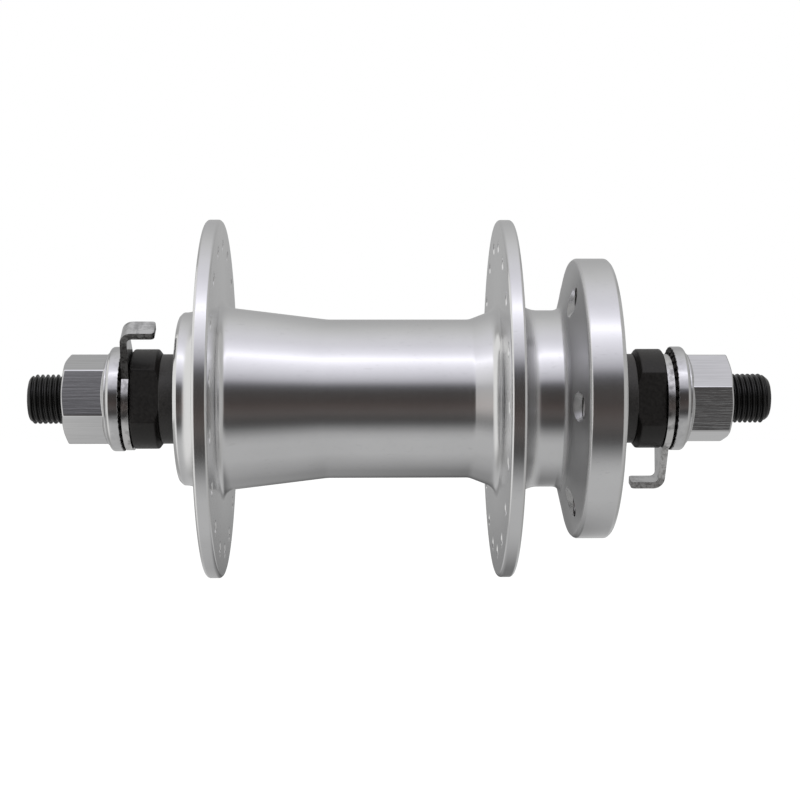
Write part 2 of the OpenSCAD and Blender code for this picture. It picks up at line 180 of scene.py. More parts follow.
# %% One mesh from several grids
def grid_faces(rows, columns, start=0):
    """Quads of a grid: each joins a point to the next in its row and in its column."""
    index = start + np.arange(rows * columns).reshape(rows, columns)
    quads = [index[:-1, :-1], index[:-1, 1:], index[1:, 1:], index[1:, :-1]]
    return np.stack(quads, -1).reshape(-1, 4)


def joined_mesh(name, grids):
    """Mesh of all grids in one, with each one's material number and texture place."""
    places, texture, faces, finish, start = [], [], [], [], 0
    for points, uv, number in grids:
        rows, columns = points.shape[:2]
        faces.append(grid_faces(rows, columns, start))
        finish.append(np.full(len(faces[-1]), number))
        places.append(points.reshape(-1, 3) * MM)
        texture.append(np.zeros((rows * columns, 2)) if uv is None else uv.reshape(-1, 2))
        start += rows * columns
    faces = np.concatenate(faces)
    mesh = bpy.data.meshes.new(name)
    mesh.from_pydata(np.concatenate(places).tolist(), [], faces.tolist())
    mesh.polygons.foreach_set("material_index", np.concatenate(finish).astype(np.int32))
    corner_uv = np.concatenate(texture)[faces.reshape(-1)]
    mesh.uv_layers.new(name="turned").data.foreach_set("uv", corner_uv.astype(np.float32).ravel())
    return mesh


print("a grid of 3 by 4 points has", len(grid_faces(3, 4)), "quads")

# %% Building a piece
MERGE_WITHIN, FLAT_WITHIN = 2e-6, 1e-7       # metres: shared points, edges without length


def close_up(mesh):
    """Merges shared edges and turns faces outwards. Returns counts of triangles and open edges."""
    work = bmesh.new()
    work.from_mesh(mesh)
    bmesh.ops.remove_doubles(work, verts=work.verts, dist=MERGE_WITHIN)
    bmesh.ops.dissolve_degenerate(work, edges=work.edges, dist=FLAT_WITHIN)
    bmesh.ops.recalc_face_normals(work, faces=work.faces)
    open_edges = sum(1 for e in work.edges if len(e.link_faces) != 2)
    triangles = sum(len(f.verts) - 2 for f in work.faces)
    work.to_mesh(mesh)
    work.free()
    return triangles, open_edges


def build(name, grids, body, node, materials, sharp=38):
    """Piece from grids, each (points, uv or None, material number), that rides on a body and
    stands in for a CAD node."""
    mesh = joined_mesh(name, grids)
    triangles, open_edges = close_up(mesh)
    mesh.shade_smooth()
    mesh.set_sharp_from_angle(angle=math.radians(sharp))
    for material in materials:
        mesh.materials.append(material)
    piece = bpy.data.objects.new(name, mesh)
    bpy.context.scene.collection.objects.link(piece)
    weighted = piece.modifiers.new("flat faces stay flat", "WEIGHTED_NORMAL")
    weighted.keep_sharp = True
    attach(piece, body)
    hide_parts(node)
    print(f"{name}: {triangles} triangles, {open_edges} open edges")
    return piece


def turned_piece(name, profile, body, node, material, side=RIGHT, columns=160):
    """Piece of one closed profile, the same all round."""
    angles = round_angles(columns)
    points = revolve(np.concatenate([profile, profile[:1]]), angles, side)
    return build(name, [(points, grid_uv(points, angles), 0)], body, node, [material])


print("points nearer than", MERGE_WITHIN / MM, "mm are merged")

# %% [markdown]
# # Finishes
# Metals are told apart by how they reflect. Each finish is a Principled shader whose colour,
# roughness and bump come from noise on Object coordinates. Numbers that are the same all over
# stand on the shader's own sockets. Turned faces need a pattern that runs round the axle: noise
# read at the place (y, distance from the axle) makes exactly such lines on every turned face.

# %% Node helpers
def new_finish(name, base, metallic, rough, **fixed):
    """Material with one Principled shader and its plain values."""
    material = bpy.data.materials.new(name)
    material.use_nodes = True
    shader = material.node_tree.nodes["Principled BSDF"]
    shader.inputs["Base Color"].default_value = (*base, 1)
    shader.inputs["Metallic"].default_value = metallic
    shader.inputs["Roughness"].default_value = rough
    for socket, value in fixed.items():
        shader.inputs[socket.replace("_", " ")].default_value = value
    return material, shader


def add(material, kind, inputs=None, **settings):
    """Adds a node. An input takes a number or another node's output."""
    node = material.node_tree.nodes.new(kind)
    for key, value in settings.items():
        setattr(node, key, value)
    for key, value in (inputs or {}).items():
        if isinstance(value, bpy.types.NodeSocket):
            material.node_tree.links.new(value, node.inputs[key])
        else:
            node.inputs[key].default_value = value
    return node


def join(material, output, target):
    """Links a node's output to another node's input."""
    material.node_tree.links.new(output, target)


def math_node(material, operation, *values):
    """Result of one step of arithmetic on numbers or other nodes' outputs."""
    return add(material, "ShaderNodeMath", dict(enumerate(values)), operation=operation).outputs[0]


print("node helpers are ready")


# %% Places and patterns
def object_place(material, stretch=(1, 1, 1)):
    """Object coordinates, multiplied so that a pattern stretches along chosen axes."""
    place = add(material, "ShaderNodeTexCoord").outputs["Object"]
    return add(material, "ShaderNodeMapping", {"Vector": place, "Scale": stretch}).outputs["Vector"]


def turned_place(material):
    """The vector (y, distance from the axle, 0), which is the same all round the axle."""
    place = add(material, "ShaderNodeTexCoord").outputs["Object"]
    flat = add(material, "ShaderNodeVectorMath", {0: place, 1: (1, 0, 1)}, operation="MULTIPLY")
    radius = add(material, "ShaderNodeVectorMath", {0: flat.outputs[0]}, operation="LENGTH")
    parts = add(material, "ShaderNodeSeparateXYZ", {0: place})
    both = {0: parts.outputs["Y"], 1: radius.outputs["Value"]}
    return add(material, "ShaderNodeCombineXYZ", both).outputs[0]


def noise(material, place, scale, detail=3.0, roughness=0.55):
    """Noise of about `scale` blotches per metre, read at a place."""
    inputs = {"Vector": place, "Scale": scale, "Detail": detail, "Roughness": roughness}
    return add(material, "ShaderNodeTexNoise", inputs).outputs["Fac"]


def spread(material, value, low, high, start=0.3, stop=0.7):
    """A value from start to stop becomes a number from low to high."""
    inputs = {"Value": value, "From Min": start, "From Max": stop, "To Min": low, "To Max": high}
    return add(material, "ShaderNodeMapRange", inputs).outputs["Result"]


def shade(material, value, dark, light):
    """A value from 0 to 1 picks a colour between two, of which the first may be another node's
    output. A Mix node's colours are its inputs 6 and 7 and its output 2."""
    first = dark if isinstance(dark, bpy.types.NodeSocket) else (*dark, 1)
    inputs = {"Factor": value, 6: first, 7: (*light, 1)}
    return add(material, "ShaderNodeMix", inputs, data_type="RGBA").outputs[2]


def darker(colour, share):
    """A share of a colour."""
    return tuple(share * c for c in colour)


def bump(material, shader, height, depth_mm, strength=1.0, below=None):
    """Adds a bump of a real depth to the shader's normal, on top of another bump if one is
    given."""
    inputs = {"Height": height, "Distance": depth_mm * MM, "Strength": strength}
    if below is not None:
        inputs["Normal"] = below
    node = add(material, "ShaderNodeBump", inputs)
    join(material, node.outputs["Normal"], shader.inputs["Normal"])
    return node.outputs["Normal"]


print("half as bright as white is", darker((1, 1, 1), 0.5))

# %% [markdown]
# ## Polished aluminium of the shell
# The shell is turned, polished and clear anodised. Fine rings run round it, so its reflections
# are clear up and down and smeared along the axle. Anisotropy with a tangent along the profile
# gives that smear at any distance; the ring bump shows only close up. The groove between right
# flange and disc mount is rougher, and its colour is mixed towards grey as painted shade. A mask
# made of three ramps marks it, one for each way out of the groove.

# %% Shell aluminium
# Output of turned_place, where the mask is 0 and where it is 1, in millimetres.
GROOVE_RAMPS = (("X", 21.2, 21.5), ("X", 33.15, 33.0), ("Y", 16.9, 17.4))
# Grey of worn specks, and of the shade painted into the groove.
WORN_AND_SHADED_GREY = (0.3, 0.3, 0.3)
SHADE_PER_ROUGHNESS = 1.7


def groove_mask(material):
    """1 in the groove and 0 elsewhere: the product of the ramps."""
    parts = add(material, "ShaderNodeSeparateXYZ", {0: turned_place(material)})
    mask = None
    for output, start, stop in GROOVE_RAMPS:
        inside = spread(material, parts.outputs[output], 0.0, 1.0, start * MM, stop * MM)
        mask = inside if mask is None else math_node(material, "MULTIPLY", mask, inside)
    return mask


def turned_aluminium(name, base, rough, smear, ring_depth, groove=0.0):
    """Turned metal. Patches darken it by up to 7 percent, worn specks and the groove mix it towards
    grey, the groove's grey being painted shade. Roughness follows the rings and grows by `groove`
    in the groove."""
    material, shader = new_finish(name, base, 1.0, rough, Anisotropic=smear)
    rings = noise(material, turned_place(material), 4200, 4, 0.7)
    patches = noise(material, object_place(material), 55, 3)
    grain = noise(material, object_place(material), 5200, 2)
    specks = noise(material, object_place(material, (1, 0.35, 1)), 2300, 2)
    even = shade(material, spread(material, patches, 0.0, 1.0), darker(base, 0.93), base)
    worn = spread(material, specks, 0.0, 0.1, 0.64, 0.72)
    dull_and_shaded = groove_mask(material)
    # Painted shade in the groove and wear in the specks both mix the colour towards grey.
    worn_and_shaded = math_node(material, "MULTIPLY_ADD", dull_and_shaded, SHADE_PER_ROUGHNESS * groove, worn)
    join(material, shade(material, worn_and_shaded, even, WORN_AND_SHADED_GREY), shader.inputs["Base Color"])
    ringed = spread(material, rings, rough * 0.88, rough * 1.15)
    rougher = math_node(material, "MULTIPLY_ADD", dull_and_shaded, groove, ringed)
    join(material, rougher, shader.inputs["Roughness"])
    below = bump(material, shader, rings, ring_depth)
    bump(material, shader, grain, ring_depth * 0.5, below=below)
    tangent = add(material, "ShaderNodeTangent", direction_type="UV_MAP", uv_map="turned")
    join(material, tangent.outputs[0], shader.inputs["Tangent"])
    return material


ALUMINIUM = turned_aluminium(
    "polished_shell_aluminium", (0.77, 0.77, 0.775), rough=0.17, smear=0.55, ring_depth=0.0011,
    groove=0.18)
# Darker than the shell: painted shade inside the tapped holes.
SHADED_THREAD_ALUMINIUM = turned_aluminium(
    "tapped_aluminium_painted_shade", (0.5, 0.495, 0.49), rough=0.16, smear=0.0, ring_depth=0.002)
COUNTERSINK = turned_aluminium(
    "countersunk_aluminium", (0.8, 0.8, 0.8), rough=0.12, smear=0.0, ring_depth=0.001)
print(ALUMINIUM.name, "has", len(ALUMINIUM.node_tree.nodes), "nodes")

# %% [markdown]
# ## Nickel chrome of the nuts and washers
# The nuts are cut from drawn bar, and the plating follows the drawing lines along the axle: they
# break the reflections into streaks. One face of the right nut is scored more deeply than the
# rest. Pressed washers have a softer, more mottled surface, and their rims are brushed. The
# undersides between two washers are painted near black as shade. Noise that is stretched along one
# axis gives lines, and the same noise left even gives dents, so one function serves them all.

# %% Chrome finishes
DENT_DEPTH = 0.25                            # of the lines' depth, for dents of 1
SCORED_DEPTH = 4                             # times the depth of plain drawing lines


def facing(material, angle):
    """How far a face looks towards an angle round the axle: 1 straight at it, 0 across it."""
    towards = (math.cos(math.radians(angle)), 0, math.sin(math.radians(angle)))
    normal = add(material, "ShaderNodeTexCoord").outputs["Normal"]
    inputs = {0: normal, 1: towards}
    return add(material, "ShaderNodeVectorMath", inputs, operation="DOT_PRODUCT").outputs["Value"]


def bright_plating(name, base, rough, stretch, scale, depth, dark=0.9, dents=6, streaks=False,
                   scored=None):
    """Metal with lines that follow `stretch` and soft dents. `dark` is the share of colour in the
    darkest places, which are streaks or blotches. The one face that looks towards the scored
    angle has deeper lines."""
    material, shader = new_finish(name, base, 1.0, rough)
    lines = noise(material, object_place(material, stretch), scale, 4, 0.65)
    mottle = noise(material, object_place(material), 420, 4, 0.65)
    tone = spread(material, lines if streaks else mottle, 0.0, 1.0, 0.38, 0.54)
    join(material, shade(material, tone, darker(base, dark), base), shader.inputs["Base Color"])
    join(material, spread(material, mottle, rough * 0.7, rough * 1.5), shader.inputs["Roughness"])
    strength = 1.0
    if scored is not None:
        strength = spread(material, facing(material, scored), 0.25, 0.8, 0.92, 0.98)
        depth = SCORED_DEPTH * depth
    below = bump(material, shader, lines, depth, strength)
    bump(material, shader, mottle, DENT_DEPTH * depth * dents, below=below)
    return material


EVEN = (1, 1, 1)
DRAWN = dict(base=(0.65, 0.65, 0.655), rough=0.06, stretch=(1, 0.04, 1), scale=2000, depth=0.013,
             dark=0.92, dents=1.6, streaks=True)
NUT_CHROME = {LEFT: bright_plating("drawn_nut_chrome", **DRAWN),
              RIGHT: bright_plating("scored_nut_chrome", **DRAWN, scored=NUT_ANGLE[RIGHT])}
WASHER_CHROME = bright_plating(
    "pressed_washer_chrome", (0.68, 0.68, 0.685), rough=0.08, stretch=EVEN, scale=900,
    depth=0.004, dark=0.62, dents=16)
RIM_CHROME = bright_plating(
    "brushed_rim_chrome", (0.68, 0.675, 0.67), rough=0.17, stretch=(1, 5, 1), scale=1300,
    depth=0.007, dark=0.5, dents=12)
DOME_CHROME = bright_plating(
    "smooth_dome_chrome", (0.66, 0.66, 0.665), rough=0.07, stretch=EVEN, scale=900,
    depth=0.003, dark=0.88, dents=12)
# Near black: painted shade between the two washers.
PAINTED_SHADE_UNDERSIDE = new_finish("painted_shade_underside", (0.035, 0.033, 0.031), 1.0, 0.5)[0]
print(len(bpy.data.materials), "materials with the chrome")

# %% [markdown]
# ## The sheared edge
# A press cuts the hooked washer out of strip. Its edge is half smooth, half torn. The left
# washer's edge is painted dark as shade, the right one's painted light as a lit edge. The
# tear is too fine to model, so it is a bump of 0.03 mm under blotches of two tones.

# %% Sheared edge
def sheared_edge(name, dark, light):
    """Torn metal: blotches of two tones under a fine grain that also breaks the reflection."""
    material, shader = new_finish(name, light, 1.0, 0.3)
    torn = noise(material, object_place(material), 5200, 4, 0.7)
    blotch = noise(material, object_place(material), 1300, 4, 0.7)
    tone = spread(material, blotch, 0.0, 1.0, 0.4, 0.54)
    join(material, shade(material, tone, dark, light), shader.inputs["Base Color"])
    join(material, spread(material, torn, 0.42, 0.24), shader.inputs["Roughness"])
    bump(material, shader, torn, 0.03)
    return material


# Left edge dark as painted shade, right edge light as painted light.
SHEARED_EDGE = {
    LEFT: sheared_edge("shaded_sheared_edge", (0.06, 0.058, 0.056), (0.17, 0.168, 0.165)),
    RIGHT: sheared_edge("lit_sheared_edge", (0.34, 0.335, 0.33), (0.6, 0.595, 0.59))}
print("edges:", [material.name for material in SHEARED_EDGE.values()])

# %% [markdown]
# ## Black parts
# The axle and locknuts are blackened steel with a thin film of oil, the collars black anodised
# aluminium. All three are near black, and their soft shine tells them apart. Worn edges of the
# oxide are a little lighter, which noise on the colour stands for.

# %% Black finishes
def black_finish(name, base, rough, grain_scale, grain_depth, ring_depth, specular):
    """Black coat whose grain lightens it from base to 1.7 base + 0.004 and breaks its shine."""
    material, shader = new_finish(name, base, 0.0, rough, Specular_IOR_Level=specular)
    rings = noise(material, turned_place(material), 3600, 3, 0.7)
    grain = noise(material, object_place(material), grain_scale, 3)
    lighter = tuple(1.7 * c + 0.004 for c in base)
    tone = spread(material, grain, 0.0, 1.0)
    join(material, shade(material, tone, base, lighter), shader.inputs["Base Color"])
    join(material, spread(material, grain, rough * 0.85, rough * 1.2), shader.inputs["Roughness"])
    below = bump(material, shader, rings, ring_depth)
    bump(material, shader, grain, grain_depth, below=below)
    return material


AXLE_BLACK = black_finish(
    "blackened_axle_steel", (0.003, 0.0029, 0.0028), rough=0.21, grain_scale=2400,
    grain_depth=0.004, ring_depth=0.0, specular=0.4)
LOCKNUT_BLACK = black_finish(
    "blackened_locknut_steel", (0.0105, 0.0094, 0.0087), rough=0.42, grain_scale=1900,
    grain_depth=0.008, ring_depth=0.001, specular=0.34)
COLLAR_BLACK = black_finish(
    "anodised_collar", (0.027, 0.0252, 0.0242), rough=0.42, grain_scale=3000,
    grain_depth=0.003, ring_depth=0.003, specular=0.42)
print(len(bpy.data.materials), "materials with the blacks")

# %% [markdown]
# ## Bearing finishes
# Ground steel rings, mirror balls, a brass cage and rubber seals. They hardly show in the
# photograph, but they are what one sees when the hub is turned end on or taken apart. The
# functions above already give such surfaces, with other colours and depths.

# %% Bearing finishes
BEARING_STEEL = turned_aluminium(
    "ground_bearing_steel", (0.55, 0.55, 0.56), rough=0.2, smear=0.0, ring_depth=0.001)
BALL_STEEL = bright_plating(
    "ball_steel", (0.62, 0.62, 0.63), rough=0.06, stretch=EVEN, scale=700, depth=0.0002)
CAGE_BRASS = bright_plating(
    "cage_brass", (0.62, 0.47, 0.22), rough=0.3, stretch=EVEN, scale=1400, depth=0.004)
TUBE_ALUMINIUM = bright_plating(
    "drawn_tube_aluminium", (0.72, 0.72, 0.725), rough=0.3, stretch=(1, 0.05, 1), scale=1500,
    depth=0.004)
SEAL_RUBBER = black_finish(
    "seal_rubber", (0.014, 0.014, 0.0145), rough=0.6, grain_scale=2600, grain_depth=0.01,
    ring_depth=0.002, specular=0.35)
print(len(bpy.data.materials), "materials in all")

# %% [markdown]
# # The shell
# One turned piece: boss, left flange, cone, waist, flare, right flange, neck, disc mount and
# register, bored through. A Boolean could drill its 42 holes, but it leaves long thin triangles
# that shade badly. Here the holes are part of the grid: round each one, lines run from the edge
# of a small window in the face to the rim of the hole, and plain grid fills the space between.

# %% Shell columns and holes
COLUMNS = 288                        # divides by 18 spoke holes and by 6 disc bolts
STEP = 360 / COLUMNS
# Each hole's distance from the axle, radius and countersink, the count of holes, and the window
# round a hole: from low to high in rows, and half its columns to either side.
SPOKES = dict(circle=29.0, radius=1.3, mouth=0.2, count=18, low=27.0, high=31.0, half=4, rows=6)
BOLTS = dict(circle=22.0, radius=2.1, mouth=0.5, count=6, low=18.3, high=25.2, half=8, rows=8)
LEFT_SPOKE_ANGLE, RIGHT_SPOKE_ANGLE, BOLT_ANGLE = 7.0, -3.0, -4.0
print("one column every", STEP, "degrees")


# %% Rings round the holes
def hole_angles(drill):
    """Angles round a hole, evenly spaced, one for each point on the edge of its window."""
    count = 4 * drill["half"] + 2 * drill["rows"]
    k = np.arange(count + 1)
    return np.pi - 2 * np.pi * (k - drill["half"]) / count


def turn_to_holes(drill, points, phase):
    """Copies of points, turned about the axle to each hole of a circle."""
    turn = np.radians(phase + np.arange(drill["count"]) * 360 / drill["count"])[:, None]
    x, y, z = points[..., 0], points[..., 1], points[..., 2]
    cos, sin = np.cos(turn), np.sin(turn)
    return np.stack([x * cos - z * sin, y + 0 * turn, x * sin + z * cos], -1)


def hole_ring(drill, radius, y, phase):
    """Ring of a given radius round each hole: points of shape (count of holes, points, 3)."""
    a = hole_angles(drill)
    across, along = drill["circle"] + radius * np.cos(a), radius * np.sin(a)
    ring = np.stack([across, np.broadcast_to(y, across.shape), along], -1)
    return turn_to_holes(drill, ring, phase)


def mouth_ring(drill, height, phase):
    """Where a hole's countersink meets a face. On a face that slopes by m, the 45 degree cone of
    radius w meets it at w / (1 + m cos a) from the hole's middle, where the angle a starts away
    from the axle."""
    slope = height(drill["circle"] + 1) - height(drill["circle"])
    radius = (drill["radius"] + drill["mouth"]) / (1 + slope * np.cos(hole_angles(drill)))
    ring = hole_ring(drill, radius, 0.0, phase)
    ring[..., 1] = height(np.hypot(ring[..., 0], ring[..., 2]))
    return ring


print("points round a spoke hole:", len(hole_angles(SPOKES)) - 1)


# %% Drilled faces
def flat(y):
    """Height of a flat face at any radius."""
    return lambda r: y + 0 * r


def polar_uv(points):
    """Texture place on a flat face: u is the distance from the axle in centimetres, v the angle
    in turns."""
    r = np.hypot(points[..., 0], points[..., 2])
    v = np.arctan2(points[..., 2], points[..., 0]) / (2 * np.pi)
    return np.stack([r / MM_PER_CM, v], -1)


def window_line(drill, height):
    """Edge of the window round one hole: two arcs about the axle and two lines between them."""
    half, rows, low, high = (drill[key] for key in ("half", "rows", "low", "high"))
    edge = math.radians(half * STEP)
    sweep = np.linspace(-edge, edge, 2 * half + 1)
    climb = np.linspace(low, high, rows + 1)
    across, down = np.full(2 * half, 1.0), np.full(rows, edge)
    r = np.concatenate([low * across, climb[:-1], high * across, climb[:0:-1], [low]])
    a = np.concatenate([sweep[:-1], down, sweep[:0:-1], -down, [-edge]])
    return np.stack([r * np.cos(a), height(r), r * np.sin(a)], -1)


def drilled_face(drill, height, phase):
    """Ring with holes, at a height for each radius. Round a hole it is (1-s) window + s mouth,
    and between two windows a polar grid."""
    half = drill["half"]
    edge, sector = math.radians(half * STEP), 2 * np.pi / drill["count"]
    window = turn_to_holes(drill, window_line(drill, height), phase)
    rim = mouth_ring(drill, height, phase)
    climb = np.linspace(drill["low"], drill["high"], drill["rows"] + 1)
    columns = round(math.degrees(sector) / STEP) - 2 * half
    between = np.linspace(edge, sector - edge, columns + 1)
    share = np.array([0, 0.5, 1])[:, None, None]
    grids = []
    for k in range(drill["count"]):
        points = (1 - share) * window[k] + share * rim[k]
        grids.append((points, polar_uv(points), 0))
        angles = between + k * sector + math.radians(phase)
        plain = revolve(np.stack([climb, height(climb)], -1), angles)
        grids.append((plain, polar_uv(plain), 0))
    return grids


print("points on the edge of a bolt hole's window:", len(window_line(BOLTS, flat(0))) - 1)


# %% Plain hole walls
def plain_wall(drill, y_low, y_high, phase):
    """Wall of a plain hole with a small countersink at both faces, softened."""
    narrow, mouth = drill["radius"], drill["mouth"]
    wide = narrow + mouth
    corners = [(wide, y_low), (narrow, y_low + mouth), (narrow, y_high - mouth), (wide, y_high)]
    profile = soften(corners, [0, 0.12, 0.12, 0], 2)
    rings = np.stack([hole_ring(drill, r, y, phase) for r, y in profile], 1)
    return [(ring, grid_uv(ring, hole_angles(drill)), 0) for ring in rings]


# %% Tapped hole walls
BOLT_PITCH, BOLT_THREAD_DEPTH, ROWS_PER_PITCH = 0.8, 0.38, 6


def tapped_wall(drill, faces, phase):
    """Wall of a tapped hole. Row k lies k / rows per pitch pitches up and climbs one pitch in a
    turn, so its end meets the start of a later row. The radius swings with the height above the
    helix and fades to the drilled radius at both ends."""
    circle, radius, mouth = drill["circle"], drill["radius"], drill["mouth"]
    low, high = [face(circle) + mouth * sign for face, sign in zip(faces, (1, -1))]
    a = hole_angles(drill)
    turn = np.arange(len(a)) / (len(a) - 1)
    last = int((high - low) / BOLT_PITCH * ROWS_PER_PITCH) + 1
    k = np.arange(-ROWS_PER_PITCH, last + 1)[:, None]
    y = np.clip(low + BOLT_PITCH * (k / ROWS_PER_PITCH + turn), low, high)
    fade = ramp(np.minimum(y - low, high - y), 0, 0.5 * BOLT_PITCH)
    swing = 0.5 + 0.5 * np.cos(2 * np.pi * (k + 0 * turn) / ROWS_PER_PITCH)
    r = radius + BOLT_THREAD_DEPTH * swing * fade
    thread = np.stack([circle + r * np.cos(a), y, r * np.sin(a)], -1)
    grids = []
    for hole in range(drill["count"]):
        angle = phase + hole * 360 / drill["count"]
        points = turn_to_holes(dict(drill, count=1), thread, angle)
        grids.append((points.reshape(thread.shape), None, 1))
    for face, y_deep in zip(faces, (low, high)):
        wide, narrow = mouth_ring(drill, face, phase), hole_ring(drill, radius, y_deep, phase)
        near_rim, halfway = 0.97 * wide + 0.03 * narrow, 0.5 * wide + 0.5 * narrow
        grids += [(ring, None, 2) for ring in np.stack([wide, near_rim, halfway, narrow], 1)]
    return grids


print("rows in one pitch of a bolt hole's thread:", ROWS_PER_PITCH)

# %% [markdown]
# The outline is the CAD's, in six stretches between the drilled bands. A stretch may start at one
# phase angle and end at another, because the holes of its two ends don't line up: the columns
# then lean a little, which doesn't change a turned surface.

# %% Sizes of the shell
BOSS_R, BARREL_R, WAIST_R, NECK_R, DISC_R = 16.4, 17.2, 15.05, 16.8, 26.6
FLANGE_R, SEAT_R, CORE_R, REGISTER_R = 33.85, 14.0, 12.0, 17.5
L_OUT, L_IN, R_IN, R_OUT = -35.875, -33.125, 18.575, 21.325
DISC_BACK, DISC_FACE, REGISTER_END, BOSS_END = 33.0, 39.6, 41.2, 41.15
BACK_SLOPE = math.radians(14)
BOSS_FILLET, CONE_FILLET, FLARE_FILLET, NECK_FILLET, MOUNT_FILLET = 4.2, 2.2, 2.8, 5, 1.8
FLARE, FLARE_LENGTH = math.radians(21), 5.2
WAIST_START = -13.4


def back_at(r):
    """Height of the disc mount's back: a shallow cone, thicker towards the neck."""
    return DISC_BACK - (DISC_R - r) * math.tan(BACK_SLOPE)


print("disc mount at the neck:", round(DISC_FACE - back_at(NECK_R), 2), "mm thick")


# %% Outline of the shell
def outline_grid(parts, phases):
    """Grid of one stretch of outline, whose columns lean from the first phase to the second."""
    profile = soften(*mixed(*parts), steps=3)
    lean = np.linspace(phases[0], phases[1], len(profile))[:, None]
    angles = round_angles(COLUMNS)[None, :] + np.radians(lean)
    points = revolve(profile, angles)
    return points, grid_uv(points, angles), 0


def flange_rim(low, high):
    """Edge of a spoke flange: two small bevels with softened corners."""
    b = 0.4
    corners = [(FLANGE_R - b, low), (FLANGE_R, low + b), (FLANGE_R, high - b), (FLANGE_R - b, high)]
    return [(corner, 0.22) for corner in corners]


spokes_low, spokes_high = SPOKES["low"], SPOKES["high"]
bolts_low, bolts_high = BOLTS["low"], BOLTS["high"]
inside_and_ends = outline_grid([
    ((spokes_low, L_OUT), 0),
    arc((BOSS_R + BOSS_FILLET, L_OUT - BOSS_FILLET), BOSS_FILLET, 90, 180, 14),
    ((BOSS_R, 0.7 - BOSS_END), 0.25), ((BOSS_R - 0.7, -BOSS_END), 0.2),
    ((SEAT_R + 0.3, -BOSS_END), 0.1), ((SEAT_R, 0.3 - BOSS_END), 0.1),
    ((SEAT_R, -BEARING_IN), 0.1), ((CORE_R, -BEARING_IN), 0.3),
    ((CORE_R, BEARING_IN), 0.3), ((SEAT_R, BEARING_IN), 0.1),
    ((SEAT_R, REGISTER_END - 0.3), 0.1), ((SEAT_R + 0.3, REGISTER_END), 0.1),
    ((REGISTER_R - 0.25, REGISTER_END), 0.12), ((REGISTER_R, REGISTER_END - 0.25), 0.12),
    ((REGISTER_R, DISC_FACE), 0.15), ((bolts_low, DISC_FACE), 0)], (LEFT_SPOKE_ANGLE, BOLT_ANGLE))
left_rim = outline_grid(
    [((spokes_high, L_OUT), 0), *flange_rim(L_OUT, L_IN), ((spokes_high, L_IN), 0)],
    (LEFT_SPOKE_ANGLE, LEFT_SPOKE_ANGLE))
print("outline rows inside and at the ends:", len(inside_and_ends[0]))

# %% Outline between the flanges
flare_rise = FLARE_LENGTH - FLARE_FILLET * (1 - math.sin(FLARE))
flare_middle = (WAIST_R + flare_rise * math.tan(FLARE) + FLARE_FILLET * math.cos(FLARE),
                R_IN - FLARE_FILLET)
barrel = outline_grid([
    ((spokes_low, L_IN), 0),
    arc((BARREL_R + CONE_FILLET, L_IN + CONE_FILLET), CONE_FILLET, 270, 187, 9),
    ((WAIST_R, WAIST_START), 0.6), ((WAIST_R, R_IN - FLARE_LENGTH), 0.5),
    arc(flare_middle, FLARE_FILLET, 159, 90, 10),
    ((spokes_low, R_IN), 0)], (LEFT_SPOKE_ANGLE, RIGHT_SPOKE_ANGLE + 10))
right_rim = outline_grid(
    [((spokes_high, R_IN), 0), *flange_rim(R_IN, R_OUT), ((spokes_high, R_OUT), 0)],
    (RIGHT_SPOKE_ANGLE, RIGHT_SPOKE_ANGLE))
print("outline rows of the barrel:", len(barrel[0]))

# %% Outline of neck and disc mount
fillet_foot = back_at(NECK_R + MOUNT_FILLET - MOUNT_FILLET * math.sin(BACK_SLOPE))
mount_middle = (NECK_R + MOUNT_FILLET, fillet_foot - MOUNT_FILLET * math.cos(BACK_SLOPE))
neck = outline_grid([
    ((spokes_low, R_OUT), 0),
    arc((NECK_R + NECK_FILLET, R_OUT + NECK_FILLET), NECK_FILLET, 270, 180, 16),
    arc(mount_middle, MOUNT_FILLET, 180, 104, 8),
    ((bolts_low, back_at(bolts_low)), 0)], (RIGHT_SPOKE_ANGLE, BOLT_ANGLE + STEP))
disc_rim = outline_grid([
    ((bolts_high, back_at(bolts_high)), 0), ((DISC_R - 0.5, back_at(DISC_R - 0.5)), 0.25),
    ((DISC_R, DISC_BACK + 0.5), 0.25), ((DISC_R, DISC_FACE - 0.6), 0.3),
    ((DISC_R - 0.6, DISC_FACE), 0.2), ((bolts_high, DISC_FACE), 0)], (BOLT_ANGLE, BOLT_ANGLE))
print("outline rows of neck and mount:", len(neck[0]) + len(disc_rim[0]))

# %% The shell as one piece
shell_grids = [inside_and_ends, left_rim, barrel, right_rim, neck, disc_rim]
for y_low, y_high, phase in ((L_OUT, L_IN, LEFT_SPOKE_ANGLE), (R_IN, R_OUT, RIGHT_SPOKE_ANGLE)):
    shell_grids += drilled_face(SPOKES, flat(y_low), phase)
    shell_grids += drilled_face(SPOKES, flat(y_high), phase)
    shell_grids += plain_wall(SPOKES, y_low, y_high, phase)
shell_grids += drilled_face(BOLTS, back_at, BOLT_ANGLE)
shell_grids += drilled_face(BOLTS, flat(DISC_FACE), BOLT_ANGLE)
shell_grids += tapped_wall(BOLTS, (back_at, flat(DISC_FACE)), BOLT_ANGLE)
build("shell_turned", shell_grids, "hub", "hub_shell",
      [ALUMINIUM, SHADED_THREAD_ALUMINIUM, COUNTERSINK])

# %% [markdown]
# # The axle
# A solid 3/8 inch axle with 26 threads to the inch, rolled, so that the crests are round. The
# thread is one grid that leans with the helix: each row climbs one pitch in a turn and ends where
# a later row starts. Rings, as in the CAD, would look alike from far away, but the lean of the
# crests shows in the photograph. Both ends have the same hand.

# %% Thread form
PITCH = 25.4 / 26
THREAD_DEPTH = 0.53
PER_PITCH = 10
THREAD_COLUMNS = 72
CREST, FLANK = 0.13, 0.72            # shares of half a pitch that are crest and flank
ROUNDED = 0.55                       # share of the eased flank in the mix with a straight one


